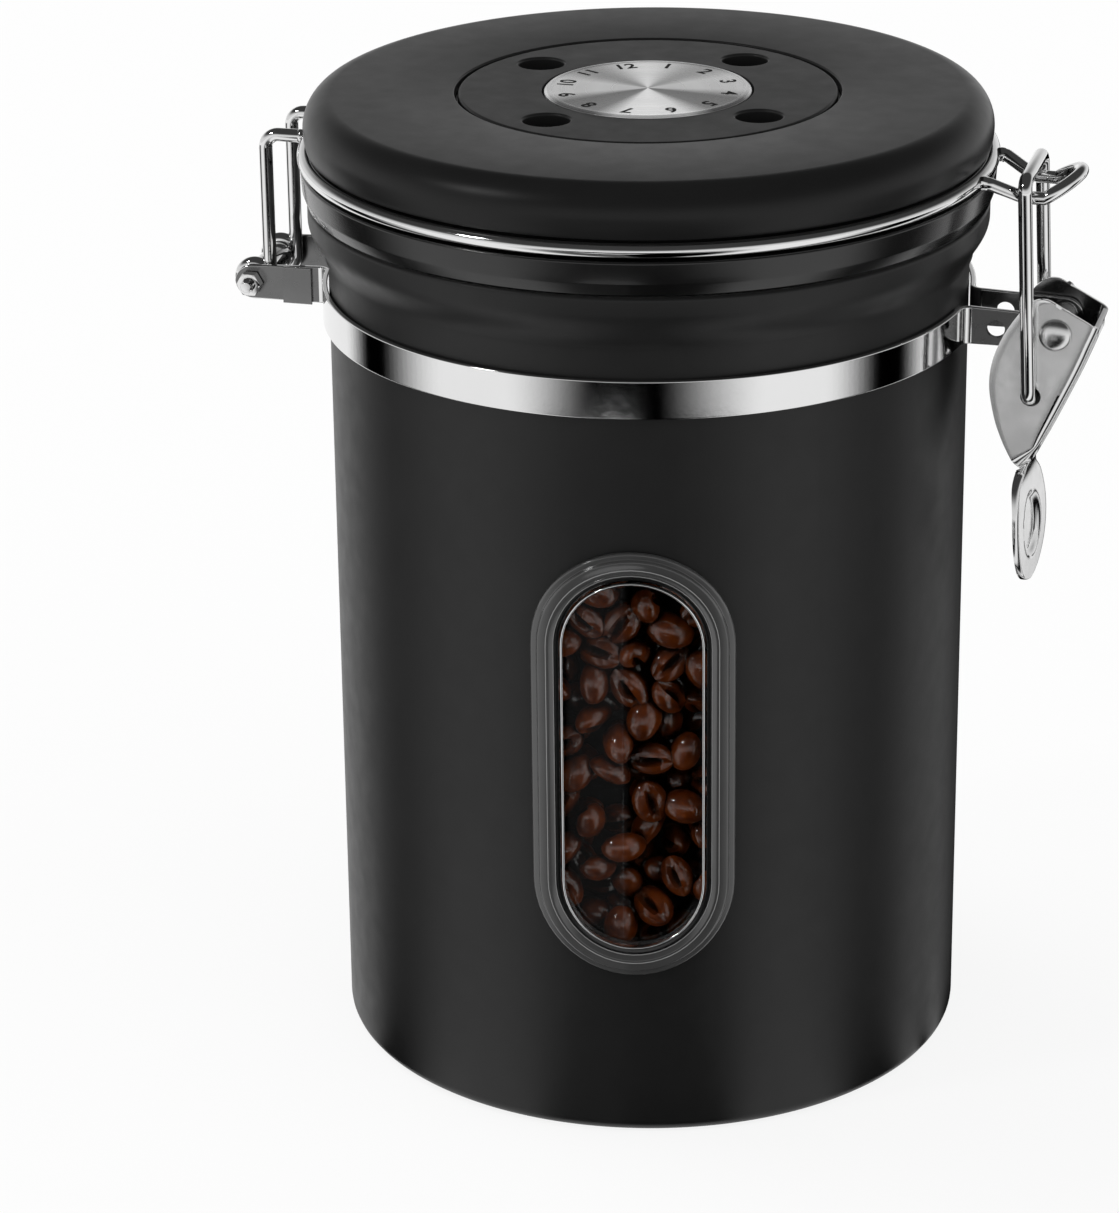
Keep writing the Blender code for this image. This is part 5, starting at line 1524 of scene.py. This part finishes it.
def bean_shape(work, place, turn, size):
    """Add one bean: domed back, flatter belly with a bent crease."""
    rows = []
    for i in range(BEAN_RINGS + 1):
        row = []
        lift = math.pi * i / BEAN_RINGS
        for k in range(BEAN_SIDES if 0 < i < BEAN_RINGS else 1):
            x = math.cos(lift)
            y, z = polar(math.sin(lift), math.tau * k / BEAN_SIDES)
            height = z * BACK_SHARE
            if z < 0:
                bend = y - math.sin(x * CREASE_BEND) / 9
                crease = math.exp(-(bend / CREASE_WIDTH_SHARE) ** 2) * CREASE_DEPTH_SHARE
                height = z * BELLY_SHARE + crease * (1 - x * x)
            spot = Vector((x * BEAN_LENGTH / 2, y * BEAN_WIDTH / 2, height * BEAN_HEIGHT))
            row.append(work.verts.new(place + turn @ (spot * size)))
        rows.append(row)
    for first, last in zip(rows, rows[1:]):
        for k in range(BEAN_SIDES):
            m = k + 1
            face = [
                first[k % len(first)], first[m % len(first)], last[m % len(last)],
                last[k % len(last)],
            ]
            face = list(dict.fromkeys(face))
            if len(face) > 2:
                work.faces.new(face)


def spread_out(spots, apart, limits, rounds=SPREAD_ROUNDS):
    """Push crowded places apart, each kept inside its limits."""
    for _ in range(rounds):
        for i, first in enumerate(spots):
            for j in range(i):
                gap = first - spots[j]
                if 0 < gap.length < apart:
                    push = gap.normalized() * ((apart - gap.length) / 4)
                    first += push
                    spots[j] -= push
            limits(first)


def drawn_in(spot, low, high):
    """Keep a place's distance from the axis between two limits."""
    reach = math.hypot(spot.x, spot.y)
    share = min(max(reach, low), high) / reach
    spot.x *= share
    spot.y *= share


def beans():
    chance = random.Random(BEAN_SEED)
    outer = BODY_RADIUS - BODY_WALL - BEAN_HEIGHT
    low = WINDOW_CENTRE - BEZEL_LENGTH / 2
    high = WINDOW_CENTRE + BEZEL_LENGTH / 2
    front = []
    for i in range(BEAN_COUNT):
        reach = outer - (BEAN_HEIGHT * LAYER_SHARE if i % 2 else 0)
        angle = -QUARTER + WINDOW_TURN + chance.uniform(-BEAN_SPAN, BEAN_SPAN)
        front.append(Vector(polar(reach, angle, chance.uniform(low, high))))

    def in_front(spot):
        drawn_in(spot, BEAN_CORE, outer)

    spread_out(front, BEAN_WIDTH * FRONT_APART_SHARE, in_front)
    top = []
    for i in range(BEAN_COUNT):
        reach = (BODY_RADIUS - BEAN_LENGTH * HEAP_SHARE) * math.sqrt(chance.random())
        angle = chance.uniform(0, math.tau)
        top.append(Vector(polar(reach, angle, BEAN_LEVEL - BEAN_HEIGHT * chance.random())))

    def on_top(spot):
        drawn_in(spot, 0, BODY_RADIUS - BEAN_LENGTH * HEAP_LIMIT_SHARE)
        spot.z = min(max(spot.z, BEAN_LEVEL - BEAN_HEIGHT), BEAN_LEVEL)

    spread_out(top, BEAN_WIDTH * HEAP_APART_SHARE, on_top)
    work = bmesh.new()
    for spot in front + top:
        turn = Matrix.Identity(3)
        for axis in "ZXY":
            turn = Matrix.Rotation(chance.uniform(0, math.tau), 3, axis) @ turn
        bean_shape(work, spot, turn, chance.uniform(*BEAN_SIZE_SHARES))
    bmesh.ops.recalc_face_normals(work, faces=work.faces)
    dress(from_work("beans", work), BEAN, "canister")
    bean_core()


def bean_core():
    """A near-black solid of painted shade that fills the heap behind the front beans, with a
    slightly uneven side.
    """
    base = BASE_RECESS + BODY_WALL + OVERRUN
    top = BEAN_LEVEL - BEAN_HEIGHT
    section = [(0, top)]
    for k in range(CORE_STEPS + 1):
        wobble = 1 + math.sin(k * CORE_WAVE) / 60
        section.append((BEAN_CORE * wobble, top - (top - base) * k / CORE_STEPS))
    section.append((0, base))
    dress(lathe("bean_core", section, SMALL_LATHE_STEPS), SHADE, "canister")


# Stage and light

def stage_sheet(name, verts, faces, colour, hidden=False):
    mesh = bpy.data.meshes.new(name)
    mesh.from_pydata(verts, [], faces)
    result = placed(name, mesh)
    material = bpy.data.materials.new(name)
    material.use_nodes = True
    shader = material.node_tree.nodes["Principled BSDF"]
    shader.inputs["Base Color"].default_value = grey(colour)
    shader.inputs["Roughness"].default_value = 0.9
    shader.inputs["Specular IOR Level"].default_value = 0.0
    mesh.materials.append(material)
    if hidden:
        result.visible_camera = False
        result.visible_diffuse = False
        result.visible_shadow = False
    return result


def eased(tree, value, *limits):
    """A smooth step of a value between two limits, to two more."""
    labels = ("From Min", "From Max", "To Min", "To Max")
    links = {"Value": value, **dict(zip(labels, limits))}
    return node(tree, "ShaderNodeMapRange", links, interpolation_type="SMOOTHSTEP").outputs[0]


def product(tree, first, last):
    return node(tree, "ShaderNodeMath", {0: first, 1: last}, operation="MULTIPLY").outputs[0]


FLOOR_REACH = 4.0
FLOOR_COLOUR = 0.93
FLOOR_PLAIN_SHARE = 0.86


def floor():
    """A white floor: seen or mirrored, it is mostly plain white with a faint shadow."""
    reach = FLOOR_REACH
    verts = [(-reach, -reach, 0), (reach, -reach, 0), (reach, reach, 0), (-reach, reach, 0)]
    sheet = stage_sheet("floor", verts, [[0, 1, 2, 3]], FLOOR_COLOUR)
    tree = sheet.data.materials[0].node_tree
    share = product(tree, seen_rays(tree), FLOOR_PLAIN_SHARE)
    plain = node(tree, "ShaderNodeEmission")
    blend(tree, "Material Output", share, tree.nodes["Principled BSDF"], plain)


def seen_rays(tree):
    """One for a ray that sees the stage straight, in a mirror or through glass."""
    path = node(tree, "ShaderNodeLightPath")
    total = path.outputs["Is Camera Ray"]
    for label in ("Is Glossy Ray", "Is Transmission Ray"):
        links = {0: total, 1: path.outputs[label]}
        total = node(tree, "ShaderNodeMath", links, operation="MAXIMUM").outputs[0]
    return total


# Dark cards that lie on the floor and give the polished band its streaks: first and
# last azimuth on the band, the shares of the width over which its edges fade, the
# nearest and farthest reach from the band, and how dark it is
CARD_STREAKS = (
    (-67.0, -38.0, 0.30, 0.55, 0.0, 1.10, 1.0),
    (-26.0, 21.0, 0.36, 0.42, 0.385, 1.10, 1.0),
    (-25.0, -3.2, 0.45, 0.05, 0.0, 0.385, 0.90),
    (-5.8, 20.0, 0.04, 0.35, 0.0, 0.385, 1.0),
    (31.0, 58.0, 0.45, 0.35, 0.0, 1.10, 1.0),
    (59.0, 65.5, 0.40, 0.40, 0.0, 1.10, 1.0),
    (67.0, 88.0, 0.25, 0.10, 0.0, 1.10, 1.0),
)
CARD_LIFT = 0.001
CAMERA_AZIMUTH = -QUARTER + CAMERA_TURN
CARD_STEPS = 24

# A clear oval in the cards, which the flat cheek of the lever mirrors
CARD_HOLE_PLACE = (0.016, -0.394)
CARD_HOLE_SIZE = (0.085, 0.052)
CARD_HOLE_CORE = 0.70


def card(index, first, last, fade_in, fade_out, near, far, darkness):
    """A dark fan on the floor that a stretch of the band mirrors, soft at both sides."""
    verts = []
    for k in range(CARD_STEPS + 1):
        turn = math.radians(first + (last - first) * k / CARD_STEPS)
        root = Vector(polar(BODY_RADIUS, CAMERA_AZIMUTH + turn, CARD_LIFT))
        ahead = Vector(polar(1, CAMERA_AZIMUTH + turn * 2, 0))
        verts += [root + ahead * reach for reach in (near, far)]
    faces = [[k * 2, k * 2 + 2, k * 2 + 3, k * 2 + 1] for k in range(CARD_STEPS)]
    piece = stage_sheet("card_" + str(index), verts, faces, 0.0, hidden=True)
    uv = piece.data.uv_layers.new(name="across")
    for item in piece.data.loops:
        uv.data[item.index].uv = (item.vertex_index // 2 / CARD_STEPS, 0)
    tree = piece.data.materials[0].node_tree
    coordinate = node(tree, "ShaderNodeUVMap").outputs[0]
    share = node(tree, "ShaderNodeSeparateXYZ", {0: coordinate}).outputs[0]
    opening = eased(tree, share, 0.0, fade_in, 0.0, 1.0)
    closing = eased(tree, share, 1.0 - fade_out, 1.0, 1.0, 0.0)
    place = node(tree, "ShaderNodeTexCoord").outputs["Object"]
    links = {
        "Vector": place, "Location": (*CARD_HOLE_PLACE, CARD_LIFT), "Scale": (*CARD_HOLE_SIZE, 1),
    }
    oval = node(tree, "ShaderNodeMapping", links, vector_type="TEXTURE").outputs[0]
    apart = node(tree, "ShaderNodeVectorMath", {0: oval}, operation="LENGTH").outputs["Value"]
    rim = eased(tree, apart, CARD_HOLE_CORE, 1.0, 0.0, darkness)
    kept = product(tree, product(tree, opening, closing), rim)
    tree.links.new(kept, tree.nodes["Principled BSDF"].inputs["Alpha"])


WORLD_LEVEL = 0.62

# Where the mirrored sky starts and ends to darken, and how bright it is at both
SKY_FADE = (0.12, 0.53, 1.0, 0.06)


def world():
    """White near the horizon, darker overhead in reflections, plain for diffuse light."""
    studio = bpy.data.worlds.new("studio")
    bpy.context.scene.world = studio
    studio.use_nodes = True
    tree = studio.node_tree
    ground = tree.nodes["Background"]
    ground.inputs[0].default_value = grey(1.0)
    ground.inputs[1].default_value = WORLD_LEVEL
    place = node(tree, "ShaderNodeTexCoord").outputs["Generated"]
    height = node(tree, "ShaderNodeSeparateXYZ", {0: place}).outputs["Z"]
    shown = node(tree, "ShaderNodeBackground", {1: eased(tree, height, *SKY_FADE)})
    blend(tree, "World Output", seen_rays(tree), ground, shown)


# Suns: azimuth from the camera, counted toward the latch, height, strength, softness,
# and whether reflections show it
SUNS = (
    ("key", -120.0, 52.0, 0.85, 35.0, False),
    ("fill", 55.0, 40.0, 0.45, 60.0, False),
    ("spark", -66.0, 38.0, 0.36, 8.0, True),
)


def suns():
    for name, azimuth, height, strength, softness, shown in SUNS:
        data = bpy.data.lights.new(name, "SUN")
        data.energy = strength
        data.angle = math.radians(softness)
        lamp = placed(name, data)
        lamp.visible_glossy = shown
        flat = CAMERA_AZIMUTH + math.radians(azimuth)
        rise = math.radians(height)
        way = Vector(polar(math.cos(rise), flat, math.sin(rise)))
        lamp.rotation_euler = way.to_track_quat("Z", "Y").to_euler()


can_body()
collar()
window()
band("band_fore", -1, "band_front")
band("band_aft", 1, "band_rear")
doubler("doubler_front", -1)
doubler("doubler_rear", 1)
hinge_hardware()
lid_shell()
lid_base()
lid_liner()
lid_gasket()
vent_disc()
dial()
valve()
lid_wires()
lever()
loop()
latch_rivet()
beans()
floor()
for index, streak in enumerate(CARD_STREAKS):
    card(index, *streak)
world()
suns()

bpy.context.scene.view_settings.view_transform = "Standard"
